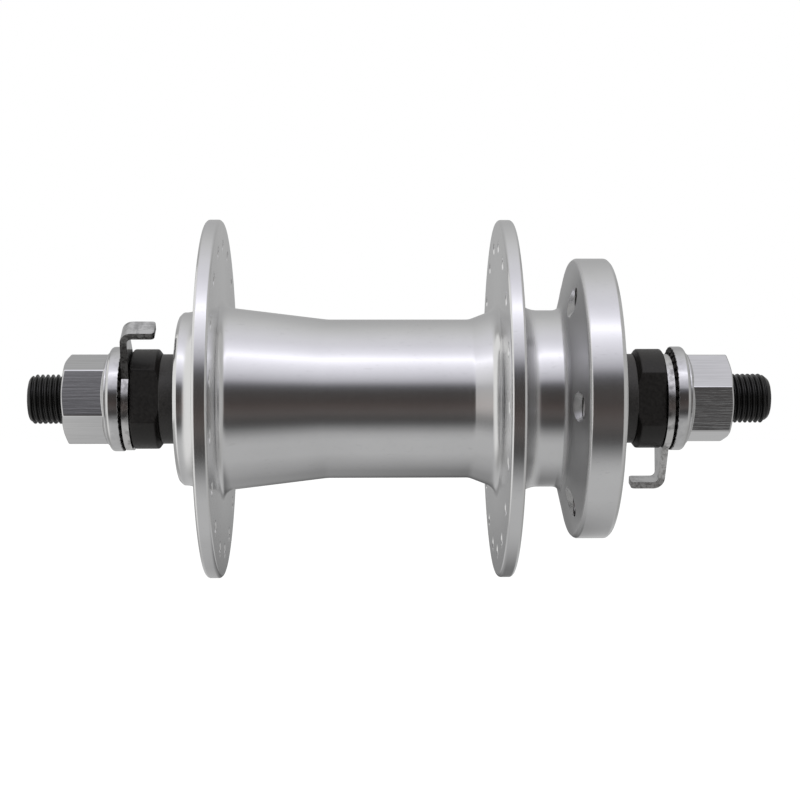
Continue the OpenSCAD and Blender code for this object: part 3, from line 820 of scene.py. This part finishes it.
def thread_form(place):
    """Depth of the thread from 0 at a crest to 1 at a root: a triangle wave, cut flat at both
    ends and partly eased."""
    wave = np.abs(2 * (place - np.floor(place + 0.5)))
    rise = ramp(wave, CREST, FLANK)
    return ease(rise) * ROUNDED + rise * (1 - ROUNDED)


print("thread halfway between crest and root:", round(float(thread_form(0.25)), 3))


# %% Thread grid
def thread_surface(side, start, end, tip_r, chamfer, round_over):
    """Grid from start to end. The thread's radius is capped by the chamfer's cone, which ends in
    a small curve."""
    angles = round_angles(THREAD_COLUMNS)
    turn = -side * angles / (2 * np.pi)
    first, last = -PER_PITCH, int((end - start) / PITCH * PER_PITCH) + PER_PITCH + 1
    row = np.arange(first, last + 1)[:, None]
    z = np.clip(start + PITCH * (row / PER_PITCH + turn), start, end)
    fade = ramp(z, start, PITCH)
    r = AXLE_R - THREAD_DEPTH * thread_form((row + 0 * angles) / PER_PITCH) * fade
    depth = np.clip(end - z, 0, None)
    widening = (AXLE_R - tip_r) * depth / chamfer
    curve_squared = round_over ** 2 - np.clip(round_over - depth, 0, None) ** 2
    curve = tip_r - round_over + np.sqrt(np.clip(curve_squared, 0, None))
    cone = tip_r + widening
    cap = np.where(depth < round_over, np.minimum(cone, curve + widening), cone)
    return revolve(np.stack([np.minimum(r, cap), z], -1), angles, side)


print("the axle's helix rises", round(PITCH, 3), "mm in a turn")

# %% The axle as one piece
AXLE_TIP = {LEFT: (4.05, 0.85), RIGHT: (3.65, 1.35)}       # radius of the tip, chamfer's length
ROUND_OVER = 0.3
axle_grids = []
for side in (LEFT, RIGHT):
    end, (tip_r, chamfer) = AXLE_END[side], AXLE_TIP[side]
    thread = thread_surface(side, LOCKNUT_IN, end, tip_r, chamfer, ROUND_OVER)
    centre_mark = [(1.6, end), (1.0, end - 0.55), (0, end - 0.75)]
    face = soften([(tip_r - ROUND_OVER, end), *centre_mark], [0, 0.3, 0.3, 0], 3)
    axle_grids.append((thread, None, 0))
    axle_grids.append((revolve(face, round_angles(THREAD_COLUMNS), side), None, 0))
middle = [(AXLE_R, z) for z in np.linspace(-LOCKNUT_IN, LOCKNUT_IN, 9)]
axle_grids.append((revolve(middle, round_angles(THREAD_COLUMNS)), None, 0))
build("axle_threaded", axle_grids, "axle", "axle", [AXLE_BLACK], sharp=50)

# %% [markdown]
# # Spacers and locknuts
# The collar is a plain turned ring with a sleeve through the bearing. The locknut is a disc with
# two wrench flats. Its profile depends on the angle: where a flat cuts in, the radius is the
# smaller of the disc's and the flat's, eased a little so that the edge catches light. A Boolean
# could cut the flats, but its edges would have to be softened by hand.

# %% Collars
SLEEVE_R, COLLAR_R = 6.0, 8.5
for side in (LEFT, RIGHT):
    profile = soften(
        [(BORE_R, BEARING_IN), (SLEEVE_R, BEARING_IN), (SLEEVE_R, BEARING_OUT),
         (COLLAR_R, BEARING_OUT), (COLLAR_R, LOCKNUT_IN), (BORE_R, LOCKNUT_IN)],
        [0.15, 0.15, 0, 0.22, 0.22, 0.15])
    turned_piece(f"{SIDE_NAME[side]}_spacer_turned", profile, "axle",
                 f"{SIDE_NAME[side]}_end_spacer", COLLAR_BLACK, side)


# %% Locknuts
def lesser(a, b, over):
    """Smaller of two lengths, eased over a short distance k: -k log(exp(-a/k) + exp(-b/k))."""
    base = np.minimum(a, b)
    return base - over * np.log(np.exp((base - a) / over) + np.exp((base - b) / over))


def locknut_angles(edge):
    """Angles once round, in radians: dense near the edges of both flats, sparse between."""
    near = np.concatenate([np.linspace(-edge - 3, -edge + 3, 17),
                           np.linspace(-edge + 5, edge - 5, 18),
                           np.linspace(edge - 3, edge + 3, 17)])
    far = np.linspace(edge + 6, 180 - edge - 6, 28)
    return np.radians(np.concatenate([near, far, near + 180, far + 180, near[:1] + 360]))


def locknut(side, angle):
    """Locknut whose rim lies at the lesser of its radius and wrench_flat / |cos a|."""
    outer, face_r, wrench_flat, chamfer, fork_edge = 9.45, 8.5, 8.05, 0.7, 0.3
    a = locknut_angles(math.degrees(math.acos(wrench_flat / outer)))
    across = wrench_flat / np.maximum(np.abs(np.cos(a)), 0.3)
    rim = lesser(across, outer, 0.03)
    face = lesser(rim, face_r + 0 * rim, 0.02)
    rise = chamfer * ramp(rim, face_r, outer - face_r)
    inner = np.full(a.shape, BORE_R)
    low, high = np.full(a.shape, LOCKNUT_IN), np.full(a.shape, LOCKNUT_OUT)
    corners = [(inner, low), (face, low), (rim, low + rise),
               (rim, high - fork_edge), (rim - fork_edge, high), (inner, high)]
    corners = np.stack([np.stack(corner, -1) for corner in corners])
    profile = soften(corners, [0.2, 0.22, 0.22, 0.15, 0.15, 0.2], 3)
    angles = a + math.radians(angle)
    points = revolve(np.concatenate([profile, profile[:1]]), angles, side)
    name = SIDE_NAME[side]
    build(f"{name}_locknut_milled", [(points, grid_uv(points, angles), 0)], "axle",
          f"{name}_locknut", [LOCKNUT_BLACK])


locknut(LEFT, 4)
locknut(RIGHT, -1)

# %% [markdown]
# # Hooked washers
# A press cuts the washer out of strip and bends its arm into a hook that sits in a hole of the
# fork. Here the flat plate is a polar grid for the ring and a blend from the ring's edge to a
# straight line for the arm. The arm's rows then follow the bend: a quarter circle and a straight
# hook with a rounded tip. Two such sheets, a plate's thickness apart, and the sheared edge
# between them close the solid. The washer's bore is loose, so it hangs low on the axle.

# %% Plate of the hooked washer
RING_R, TAB_BORE_R = 9.1, 5.4
HOOK_R, HOOK_W, ARM_ROOT_W, HOOK_REACH, BEND_R, HOOK_CORNER = 16.8, 4.2, 8.2, 5.1, 0.9, 0.7
WASHER_DROP = TAB_BORE_R - BORE_R
BEND_OUT = BEND_R + TAB_T
ARM_END = HOOK_R - BEND_OUT
ARM_HALF = math.asin(ARM_ROOT_W / 2 / RING_R)
ARM_ANGLES = np.linspace(-ARM_HALF, ARM_HALF, 15)
REST_ANGLES = np.linspace(ARM_HALF, 2 * np.pi - ARM_HALF, 73)


def arm_sheet(outer):
    """Inner or outer face of the arm and hook. First (1-s) ring edge + s straight line, then a
    quarter circle, then the hook, whose last rows narrow by the corner's circle. Columns keep
    their share of the width."""
    share = np.sin(ARM_ANGLES) / math.sin(ARM_HALF)
    s = np.linspace(0, 1, 9)[:, None]
    x = (1 - s) * RING_R * np.cos(ARM_ANGLES) + s * ARM_END
    w = (1 - s) * RING_R * np.sin(ARM_ANGLES) + s * HOOK_W / 2 * share
    z = TAB_IN + TAB_T if outer else TAB_IN
    plate = np.stack([x, w, np.full(x.shape, z)], -1)
    radius = BEND_OUT if outer else BEND_R
    b = np.linspace(0, np.pi / 2, 11)[1:, None]
    bend = np.stack(np.broadcast_arrays(ARM_END + radius * np.sin(b), HOOK_W / 2 * share,
                                        TAB_IN - BEND_R + radius * np.cos(b)), -1)
    tip = TAB_IN - HOOK_REACH
    down = np.linspace(TAB_IN - BEND_R, tip + HOOK_CORNER, 5)[1:]
    corner = np.radians(np.linspace(0, 90, 7)[1:])
    rounded = tip + HOOK_CORNER * (1 - np.sin(corner))
    narrowed = HOOK_W / 2 - HOOK_CORNER * (1 - np.cos(corner))
    height = np.concatenate([down, rounded])[:, None]
    half = np.concatenate([np.full(len(down), HOOK_W / 2), narrowed])[:, None]
    hook = np.stack(np.broadcast_arrays(ARM_END + radius, half * share, height), -1)
    return np.concatenate([plate, bend, hook])


def ring_sheet(angles, z):
    """Part of the washer's ring between its bore and its edge."""
    r = np.linspace(TAB_BORE_R, RING_R, 4)[:, None]
    return np.stack(np.broadcast_arrays(r * np.cos(angles), r * np.sin(angles), z), -1)


print("rows along arm and hook:", len(arm_sheet(True)))


# %% Hooked washers as pieces
def edge_between(low, high):
    """Wall of three rows between two lines of points."""
    return np.stack([low, 0.5 * (low + high), high])


def placed(points, side, angle):
    """Plate coordinates (out along the arm, across, along the axle), turned to the arm's angle
    and hung low."""
    cos, sin = math.cos(math.radians(angle)), math.sin(math.radians(angle))
    x, w, z = points[..., 0], points[..., 1], points[..., 2]
    return np.stack([x * cos + w * sin, side * z, x * sin - w * cos - WASHER_DROP], -1)


def hooked_washer(side, angle):
    """Washer of two faces, the sheared edge and the ring's brushed rim between them, with a
    pressed edge from a Bevel modifier."""
    low, high = TAB_IN, TAB_IN + TAB_T
    inner_arm, outer_arm = arm_sheet(False), arm_sheet(True)
    inner_ring, outer_ring = ring_sheet(REST_ANGLES, low), ring_sheet(REST_ANGLES, high)
    inner_root, outer_root = ring_sheet(ARM_ANGLES, low), ring_sheet(ARM_ANGLES, high)
    faces = [inner_arm, outer_arm, inner_ring, outer_ring, inner_root, outer_root]
    sheared = [edge_between(inner_arm[:, 0], outer_arm[:, 0]),
               edge_between(inner_arm[:, -1], outer_arm[:, -1]),
               edge_between(inner_arm[-1], outer_arm[-1]),
               edge_between(inner_ring[0], outer_ring[0]),
               edge_between(inner_root[0], outer_root[0])]
    rim = [edge_between(inner_ring[-1], outer_ring[-1])]
    grids = [(placed(points, side, angle), None, number)
             for number, sheets in enumerate((faces, sheared, rim)) for points in sheets]
    name = SIDE_NAME[side]
    piece = build(f"{name}_hooked_washer", grids, f"{name}_tab_washer", f"{name}_tab_washer",
                  [WASHER_CHROME, SHEARED_EDGE[side], RIM_CHROME])
    bevel = piece.modifiers.new("pressed edge", "BEVEL")
    bevel.width = 0.14 * MM
    bevel.segments = 3
    bevel.limit_method = "ANGLE"
    bevel.angle_limit = math.radians(50)
    bevel.harden_normals = False
    piece.modifiers.move(1, 0)


hooked_washer(LEFT, 55)
hooked_washer(RIGHT, -105)

# %% [markdown]
# # Captive washers
# Each axle nut carries a washer that turns on it: a rounded shoulder towards the nut, and teeth
# that bite the fork. The profile again depends on the angle: its lower face rises into a groove
# between every two teeth. Outside the teeth the face steps back to a ragged edge, which gives the
# uneven dark line between the two washers in the photograph. An Array of one tooth could do the
# teeth, but then they would all be alike, and real ones are worn.

# %% Teeth and edge of the captive washer
TEETH, GROOVE_SHARE, GROOVE_DEPTH = 30, 0.42, 0.45


def tooth_rise(angles):
    """Height of the groove at each angle: a triangle as wide as its share of the pitch, uneven
    from tooth to tooth."""
    place = np.asarray(angles) / (2 * np.pi) * TEETH
    number = np.floor(place + 0.5)
    wave = np.abs(place - number)
    uneven = 0.85 + 0.15 * np.sin(12.9 * (number % TEETH)) * np.cos(4.1 * (number % TEETH))
    return GROOVE_DEPTH * uneven * np.clip(1 - wave / (GROOVE_SHARE * 0.5 + 0.06), 0, 1)


def ragged_edge(angles):
    """Height of the rim's lower edge: products of waves with whole numbers per turn, whose sum
    closes after a turn and never looks regular."""
    coarse = 0.04 * np.sin(37 * angles + 1) * np.cos(5 * angles)
    fine = 0.03 * np.sin(61 * angles) * np.cos(7 * angles)
    finest = 0.02 * np.cos(89 * angles) * np.sin(11 * angles)
    return 0.42 + coarse + (fine + finest)


print("deepest groove:", round(float(tooth_rise(round_angles(540)).max()), 3), "mm")

# %% Captive washers
CAPTIVE_R, SHOULDER_R, SHOULDER_H = 9.9, 8.95, 0.75
LIP_BORE_R, NECK_BORE_R = 6.88, 6.28         # round the nut's lip and round its neck


def captive_washer(side):
    """Washer with a toothed lower face, a ragged edge and a shoulder that is a quarter of an
    ellipse. The rows of the lower face are painted near black, as shade between the washers."""
    angles = round_angles(540)
    rise, edge = tooth_rise(angles), ragged_edge(angles)
    level = 0 * rise
    lower = [(LIP_BORE_R, level), (7.6, level), (7.7, rise), (8.9, rise),
             (9.1, np.maximum(rise, edge - 0.05)), (CAPTIVE_R - 0.12, edge),
             (CAPTIVE_R, edge + 0.1)]
    corners = np.stack([np.stack([r + level, WASHER_IN + lift], -1) for r, lift in lower])
    shoulder = [(SHOULDER_R + (CAPTIVE_R - SHOULDER_R) * math.cos(t),
                 WASHER_OUT - SHOULDER_H * (1 - math.sin(t)))
                for t in np.radians(np.linspace(0, 90, 13)[:-1])]
    bore_top = LIP_TOP + 0.08
    upper = np.array(shoulder + [(SHOULDER_R, WASHER_OUT), (NECK_BORE_R, WASHER_OUT),
                                 (NECK_BORE_R, bore_top), (LIP_BORE_R, bore_top)])
    upper = np.broadcast_to(upper[:, None], (len(upper), len(angles), 2))
    sizes = [0.1, 0, 0, 0, 0, 0.04, 0.04] + [0] * len(shoulder) + [0, 0.15, 0, 0]
    profile = soften(np.concatenate([corners, upper]), sizes, 3)
    points = revolve(np.concatenate([profile, profile[:1]]), angles, side)
    under = 9                        # rows up to the first point of the softened outer edge
    name = SIDE_NAME[side]
    build(f"{name}_captive_washer", [(points[:under], None, 1), (points[under - 1:], None, 0)],
          f"{name}_nut_washer", f"{name}_nut_washer", [DOME_CHROME, PAINTED_SHADE_UNDERSIDE],
          sharp=42)


captive_washer(LEFT)
captive_washer(RIGHT)

# %% [markdown]
# # Axle nuts
# A 15 mm hexagon on a round skirt. The distance from the axle to the hexagon's face at an angle a
# is flat / cos a, and near a corner it is a small circle. Each angle has its own profile: up the
# skirt and its cone to that distance, along the flat, then in over the chamfer. This puts the
# curved line where flat and chamfer meet exactly on the grid, with a soft edge, which a Boolean
# of a prism and a cone can't give.

# %% Hexagon
NUT_FLAT, NUT_EDGE = 7.5, 0.45
SIXTH = math.radians(30)                     # from a flat's middle to a corner
CORNER = (NUT_FLAT - NUT_EDGE) / math.cos(SIXTH)
TOUCH = math.degrees(math.atan((NUT_FLAT - NUT_EDGE) * math.tan(SIXTH) / NUT_FLAT))


def hexagon_angles():
    """Angles once round, in radians: few on the flats, many on the rounded corners."""
    on_flat = np.linspace(-TOUCH, TOUCH, 9)
    on_corner = np.linspace(TOUCH, 60 - TOUCH, 11)[1:-1]
    one = np.concatenate([on_flat, on_corner])
    return np.radians(np.concatenate([one + 60 * k for k in range(6)] + [one[:1] + 360]))


def hexagon_distance(a):
    """flat / cos(a) on a flat; near a corner, the far side of a circle whose centre is CORNER
    from the axle."""
    local = (np.degrees(a) + 30) % 60 - 30
    on_flat = NUT_FLAT / np.cos(np.radians(local))
    away = np.radians(30 - np.abs(local))
    depth = np.maximum(NUT_EDGE ** 2 - (CORNER * np.sin(away)) ** 2, 0)
    on_corner = CORNER * np.cos(away) + np.sqrt(depth)
    return np.where(np.abs(local) <= TOUCH, on_flat, on_corner)


over_corners = 2 * float(hexagon_distance(hexagon_angles()).max())
print("over the rounded corners:", round(over_corners, 2), "mm")

# %% Axle nuts as pieces
SKIRT_R, LIP_R, NUT_NECK_R = 8.8, 6.8, 6.2
CONE_TOP_R, FACE_R = NUT_FLAT - 0.1, NUT_FLAT - 0.2


def axle_nut(side, angle):
    """Nut whose cone and chamfer meet the flats at heights that follow the hexagon's distance
    h: lower on the skirt's cone and deeper below the end face the further out it is."""
    a = hexagon_angles()
    h = hexagon_distance(a)
    widest = NUT_FLAT / math.cos(SIXTH)
    meet = NUT_IN + 0.4 + 0.55 * (SKIRT_R - h) / (SKIRT_R - CONE_TOP_R)
    chamfer = NUT_OUT - 0.45 * (h - FACE_R) / (widest - FACE_R)
    lip = WASHER_IN + FACE_GAP
    corners = [(BORE_R, lip), (LIP_R, lip), (LIP_R, LIP_TOP), (NUT_NECK_R, LIP_TOP),
               (NUT_NECK_R, NUT_IN), (SKIRT_R, NUT_IN), (SKIRT_R, NUT_IN + 0.32), (h, meet),
               (h, chamfer), (FACE_R, NUT_OUT), (BORE_R + 0.5, NUT_OUT), (BORE_R, NUT_OUT - 0.5)]
    corners = np.stack([np.stack(np.broadcast_arrays(r, z, h)[:2], -1) for r, z in corners])
    profile = soften(corners, [0.1, 0.2, 0, 0, 0, 0.1, 0.1, 0.15, 0.28, 0.2, 0.1, 0.1], 4)
    angles = a + math.radians(angle)
    points = revolve(np.concatenate([profile, profile[:1]]), angles, side)
    name = SIDE_NAME[side]
    build(f"{name}_hexagon_nut", [(points, grid_uv(points, angles), 0)], f"{name}_axle_nut",
          f"{name}_axle_nut", [NUT_CHROME[side]])


axle_nut(LEFT, NUT_ANGLE[LEFT])
axle_nut(RIGHT, NUT_ANGLE[RIGHT])

# %% [markdown]
# # Bearings
# End on, one looks at the outer ring and the seal inside it. Both are turned profiles. The seal
# is moulded rubber with a shallow channel and a lip that runs on the inner ring. The parts behind
# it keep their CAD shapes and get a finish, because nobody sees them closer than that.

# %% Outer rings and seals
SEAL_LIP_R, SEAL_R, SEAL_T, CHANNEL = 8.68, 12.5, 0.6, 0.2
LAND_R, RACE_R, PITCH_R = 11.4, 2.451, 10.0
SEAL_ROOM = 0.9                              # from a bearing's face to the end of the land


def seal_profile(low, outward):
    """Section of a seal with a moulded channel on the side that shows."""
    high = low + SEAL_T
    corners = [(SEAL_LIP_R, low), (SEAL_R, low), (SEAL_R, high), (11.9, high),
               (11.6, high - CHANNEL), (10.0, high - CHANNEL), (9.7, high), (9.0, high),
               (SEAL_LIP_R, high - 0.25)]
    if not outward:
        corners = [(r, low + high - z) for r, z in reversed(corners)]
    return soften(corners, [0.08] * len(corners), 2)


race_middle = (PITCH_R, (BEARING_IN + BEARING_OUT) / 2)
reach = math.degrees(math.acos((LAND_R - PITCH_R) / RACE_R))
outer_ring = soften(*mixed(
    ((SEAT_R, BEARING_IN), 0.4), ((SEAT_R, BEARING_OUT), 0.4), ((SEAL_R, BEARING_OUT), 0.15),
    ((SEAL_R, BEARING_OUT - SEAL_ROOM), 0), ((LAND_R, BEARING_OUT - SEAL_ROOM), 0.1),
    arc(race_middle, RACE_R, reach, -reach, 14),
    ((LAND_R, BEARING_IN + SEAL_ROOM), 0.1), ((SEAL_R, BEARING_IN + SEAL_ROOM), 0),
    ((SEAL_R, BEARING_IN), 0.15)))
outer_seal = seal_profile(BEARING_OUT - SEAL_ROOM, True)
inner_seal = seal_profile(BEARING_IN + SEAL_ROOM - SEAL_T, False)
for side in (LEFT, RIGHT):
    name = SIDE_NAME[side]
    turned_piece(f"{name}_outer_ring_ground", outer_ring, "hub", f"{name}_bearing_outer_ring",
                 BEARING_STEEL, side)
    turned_piece(f"{name}_outer_seal_moulded", outer_seal, "hub",
                 f"{name}_bearing_outer_seal", SEAL_RUBBER, side, 120)
    turned_piece(f"{name}_inner_seal_moulded", inner_seal, "hub",
                 f"{name}_bearing_inner_seal", SEAL_RUBBER, side, 120)

# %% Finishes of the CAD nodes that stay
NODE_FINISH = {"inner_ring": BEARING_STEEL, "balls": BALL_STEEL, "cage": CAGE_BRASS,
               "spacer_tube": TUBE_ALUMINIUM}
BLANK = new_finish("hidden_cad_node", (0.6, 0.6, 0.6), 1.0, 0.3)[0]
kept = 0
for node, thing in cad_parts.items():
    finish = next((m for word, m in NODE_FINISH.items() if word in node), BLANK)
    thing.data.materials.clear()
    thing.data.materials.append(finish)
    kept += finish is not BLANK
print(kept, "CAD nodes keep their shape")

# %% [markdown]
# # Studio
# A polished hub shows its surroundings more than itself. The photograph tells what they were: a
# white room, a pale table, a dark band in front where the camera stands, a bright strip above it
# and a lighter ceiling. The background is white from the world and floor. The surroundings are
# one cove of glowing cloth that only reflections see. The plain world and a soft sun light
# everything at a level at which a colour renders as it is written.

# %% World
ROOM_LIGHT = 0.62                            # on the object; what the camera sees is white


def light_path_white(tree):
    """1 for camera, glossy and transmission rays, and 0 for all others."""
    path = tree.nodes.new("ShaderNodeLightPath")
    total = path.outputs["Is Camera Ray"]
    for kind in ("Is Glossy Ray", "Is Transmission Ray"):
        larger = tree.nodes.new("ShaderNodeMath")
        larger.operation = "MAXIMUM"
        tree.links.new(total, larger.inputs[0])
        tree.links.new(path.outputs[kind], larger.inputs[1])
        total = larger.outputs[0]
    return total


world = bpy.data.worlds.new("studio")
bpy.context.scene.world = world
world.use_nodes = True
world.cycles.sampling_method = "NONE"
room = world.node_tree.nodes["Background"]
room.inputs["Color"].default_value = (1, 1, 1, 1)
level = world.node_tree.nodes.new("ShaderNodeMapRange")
level.inputs["To Min"].default_value = ROOM_LIGHT
level.inputs["To Max"].default_value = 1.0
world.node_tree.links.new(light_path_white(world.node_tree), level.inputs["Value"])
world.node_tree.links.new(level.outputs["Result"], room.inputs["Strength"])
print("the room lights the object at", ROOM_LIGHT)

# %% [markdown]
# ## Floor
# White paper under the hub. It takes the hub's shadow as a grey diffuse sheet, and a glow that
# camera and reflections see lifts it to white. From below it is clear, so that it hides nothing
# when the hub is looked at from there.

# %% Floor
FLOOR_Z, FLOOR_HALF = -0.12, 4
PAPER_GREY, PAPER_GLOW = (0.42, 0.42, 0.42, 1), (0.62, 0.62, 0.62, 1)
mesh = bpy.data.meshes.new("floor")
around = ((-1, -1), (1, -1), (1, 1), (-1, 1))
corners = [(x * FLOOR_HALF, y * FLOOR_HALF, FLOOR_Z) for x, y in around]
mesh.from_pydata(corners, [], [(0, 1, 2, 3)])
floor = bpy.data.objects.new("floor", mesh)
bpy.context.scene.collection.objects.link(floor)
paper = bpy.data.materials.new("pale_floor_paper")
paper.use_nodes = True
paper.cycles.emission_sampling = "NONE"
paper.node_tree.nodes.clear()
diffuse = add(paper, "ShaderNodeBsdfDiffuse", {"Color": PAPER_GREY})
glow = add(paper, "ShaderNodeEmission", {"Color": PAPER_GLOW})
join(paper, light_path_white(paper.node_tree), glow.inputs["Strength"])
both = add(paper, "ShaderNodeAddShader", {0: diffuse.outputs[0], 1: glow.outputs[0]})
clear = add(paper, "ShaderNodeBsdfTransparent")
from_below = add(paper, "ShaderNodeNewGeometry").outputs["Backfacing"]
seen = add(paper, "ShaderNodeMixShader", {0: from_below, 1: both.outputs[0], 2: clear.outputs[0]})
add(paper, "ShaderNodeOutputMaterial", {"Surface": seen.outputs[0]})
mesh.materials.append(paper)
print("floor", -FLOOR_Z * 1000, "mm below the axle")

# %% [markdown]
# ## Reflection cove
# The cove is a sheet carried along the axle's direction. Its section is given by the angle of
# elevation seen from the axle: low angles lie just above the floor, then a wall in front, then a
# circle overhead. Each point's glow is worked out from its elevation and stored as an attribute.
# Lamps could light a real cove, but then each change of one would alter all reflections at once.

# %% Shape of the cove
COVE_R, COVE_HALF = 0.5, 0.55                # metres: radius, half length
OVERHEAD = 1.15                              # the circle's radius in cove radii
ABOVE_FLOOR = 0.004
elevation = np.concatenate([np.linspace(-180, -60, 61), np.linspace(-59, 70, 173),
                            np.linspace(71, 180, 66)])


def cove_section(e):
    """Distance of the cove from the axle at each elevation: floor, front wall or circle,
    whichever is nearest."""
    down = np.maximum(-np.sin(np.radians(e)), 1e-3)
    forward = np.maximum(np.cos(np.radians(e)), 1e-3)
    floor_line = np.where(e < 0, (abs(FLOOR_Z) - ABOVE_FLOOR) / down, 9)
    return np.minimum(np.minimum(floor_line, COVE_R / forward), COVE_R * OVERHEAD)


e = elevation[:, None]
y = np.linspace(-COVE_HALF, COVE_HALF, 61)[None, :]
distance = cove_section(e)
points = np.stack(np.broadcast_arrays(
    distance * np.cos(np.radians(e)), y, distance * np.sin(np.radians(e))), -1)
print("cove grid", points.shape[:2])

# %% [markdown]
# The glow has three parts. Along the middle it follows a table of elevations. Towards both ends
# it fades to a side glow, which is brighter on the left, as on the nuts' faces in the photograph.
# The floor behind the hub is brighter to the left, and brighter beyond the shell's ends, so that
# the floor between them holds a painted shadow of the hub.

# %% Glow of the cove
# Pairs of elevation in degrees and brightness.
GLOW = [(-180, 0.42), (-174, 0.35), (-168, 0.14), (-158, 0.15), (-142, 0.26), (-122, 0.28),
        (-100, 0.41), (-80, 0.53), (-58, 0.54), (-49, 0.46), (-39, 0.225), (-34, 0.11),
        (-29, 0.075), (-19, 0.10), (-4, 0.06), (8, 0.065), (15, 0.105), (19, 0.22), (25, 0.54),
        (33, 0.76), (46, 1.04), (53, 1.28), (57, 1.55), (61, 1.26), (68, 1.01), (80, 0.84),
        (92, 0.79), (110, 0.67), (130, 0.54), (150, 0.46), (180, 0.42)]
SIDE_GLOW = {LEFT: 0.90, RIGHT: 0.52}
SIDE_BEHIND = 0.40                           # side glow behind the hub
BESIDE_GLOW = 0.55                           # least glow of the floor beyond the shell's ends
BESIDE_FROM, BESIDE_WIDTH = 0.046, 0.016     # metres along the axle
SIDE_FROM, SIDE_WIDTH = 0.48, 0.2            # sine of the angle off the cross-section
FLOOR_SLANT, SLANT_LIMITS = 9, (-0.5, 0.4)   # change per metre along the axle, and its limits

along = np.interp(e[:, 0], *zip(*GLOW))[:, None]
below_horizon = ramp(e, -172, 12)
floor_behind = ramp(-e, 90, 35) * below_horizon
along = along * (1 - floor_behind * np.clip(y * FLOOR_SLANT, *SLANT_LIMITS))
# Glow lower between the shell's ends than beyond them: a painted shadow of the hub on the floor.
beside = ramp(-e, 80, 15) * below_horizon * ramp(np.abs(y), BESIDE_FROM, BESIDE_WIDTH)
along = along + beside * np.maximum(BESIDE_GLOW - along, 0)
lean = np.abs(y) / np.hypot(distance, y)
aside = ease(ramp(lean, SIDE_FROM, SIDE_WIDTH))
behind = ramp(np.abs(e), 85, 40)
side_glow = np.where(y < 0, SIDE_GLOW[LEFT], SIDE_GLOW[RIGHT])
side_glow = (1 - behind) * side_glow + behind * SIDE_BEHIND
glow_value = (1 - aside) * along + aside * side_glow
print("glow from", round(float(glow_value.min()), 3), "to", round(float(glow_value.max()), 3))

# %% Tint of the cove
SIDE_TINT = np.array([1.0, 0.995, 0.98])
cool = ramp(e, 8, 8) * ramp(-e, -115, 40) * (1 - aside)            # ceiling and bright strip
warm = np.clip(1 - np.abs(e + 9) / 26, 0, 1) * (1 - aside)         # dark band in front
red = 1 - 0.01 * cool + 0.20 * warm
green = 1 - 0.02 * cool
blue = 1 + 0.055 * cool - 0.06 * warm
rgb = glow_value[..., None] * np.stack([red, green, blue], -1) * SIDE_TINT ** aside[..., None]
print("brightest colour", [round(float(v), 3) for v in rgb.reshape(-1, 3).max(0)])


# %% Cove as a stage piece
def glowing_sheet(name, points, rgb):
    """Sheet that only reflections see, with its light stored on its points."""
    rows, columns = points.shape[:2]
    mesh = bpy.data.meshes.new(name)
    mesh.from_pydata(points.reshape(-1, 3).tolist(), [], grid_faces(rows, columns).tolist())
    colour = mesh.attributes.new("glow", "FLOAT_COLOR", "POINT")
    rgba = np.concatenate([rgb.reshape(-1, 3), np.ones((rows * columns, 1))], 1)
    colour.data.foreach_set("color", rgba.astype(np.float32).ravel())
    cloth = bpy.data.materials.new(name + "_cloth")
    cloth.use_nodes = True
    cloth.cycles.emission_sampling = "NONE"
    cloth.node_tree.nodes.clear()
    light = add(cloth, "ShaderNodeAttribute", attribute_name="glow").outputs["Color"]
    shine = add(cloth, "ShaderNodeEmission", {"Color": light, "Strength": 1.0})
    add(cloth, "ShaderNodeOutputMaterial", {"Surface": shine.outputs[0]})
    mesh.materials.append(cloth)
    sheet = bpy.data.objects.new(name, mesh)
    bpy.context.scene.collection.objects.link(sheet)
    for ray in ("camera", "diffuse", "transmission", "volume_scatter", "shadow"):
        setattr(sheet, "visible_" + ray, False)


glowing_sheet("reflection_cove", points, rgb)
WALL_HALF, WALL_LOW, WALL_HIGH = 0.6, -0.118, 0.6
for side in (LEFT, RIGHT):
    wall = np.array([[(x, side * COVE_HALF, z) for x in (-WALL_HALF, WALL_HALF)]
                     for z in (WALL_LOW, WALL_HIGH)], float)
    wall_rgb = np.full((2, 2, 3), SIDE_GLOW[side]) * SIDE_TINT
    glowing_sheet(f"{SIDE_NAME[side]}_cove_wall", wall, wall_rgb)
print("cove with two end walls", 2 * COVE_HALF, "m apart")

# %% [markdown]
# ## Soft sun
# The room's own light comes from all sides alike and would leave the black parts flat. A lamp as
# wide as a window, nearly overhead, gives them a top side and the floor a shadow. Reflections
# don't see it, because the cove alone makes them.

# %% Soft sun
sun = bpy.data.lights.new("soft_sun", "SUN")
sun.energy = 1.4
sun.angle = math.radians(40)
lamp = bpy.data.objects.new("soft_sun", sun)
lamp.rotation_euler = (math.radians(-6), math.radians(16), 0)
lamp.visible_glossy = False
bpy.context.scene.collection.objects.link(lamp)
print("sun of strength", round(sun.energy, 2))

# %% [markdown]
# # Camera
# The camera's place was worked out from the outlines of the flanges and the disc mount. It stands
# 306 mm from the axle, level with it and 6.6 mm to the left of the hub's middle, and looks 1.3
# degrees to the right of straight on. So the flanges' inner faces and the disc mount's back show.

# %% Camera
PICTURE = 800                                # pixels across
eye = bpy.data.cameras.new("photo_camera")
eye.sensor_width = 36
eye.lens = 72.34
eye.shift_x = -0.33 / PICTURE
eye.shift_y = -1.35 / PICTURE
stand = bpy.data.objects.new("photo_camera", eye)
stand.location = (0.30612, -0.006611, 0.000245)
stand.rotation_euler = tuple(math.radians(v) for v in (89.9542, 0.0802, 88.6879))
bpy.context.scene.collection.objects.link(stand)
bpy.context.scene.camera = stand
bpy.context.scene.view_settings.view_transform = "Standard"
print("camera", round(stand.location.x * 1000, 1), "mm from the axle")
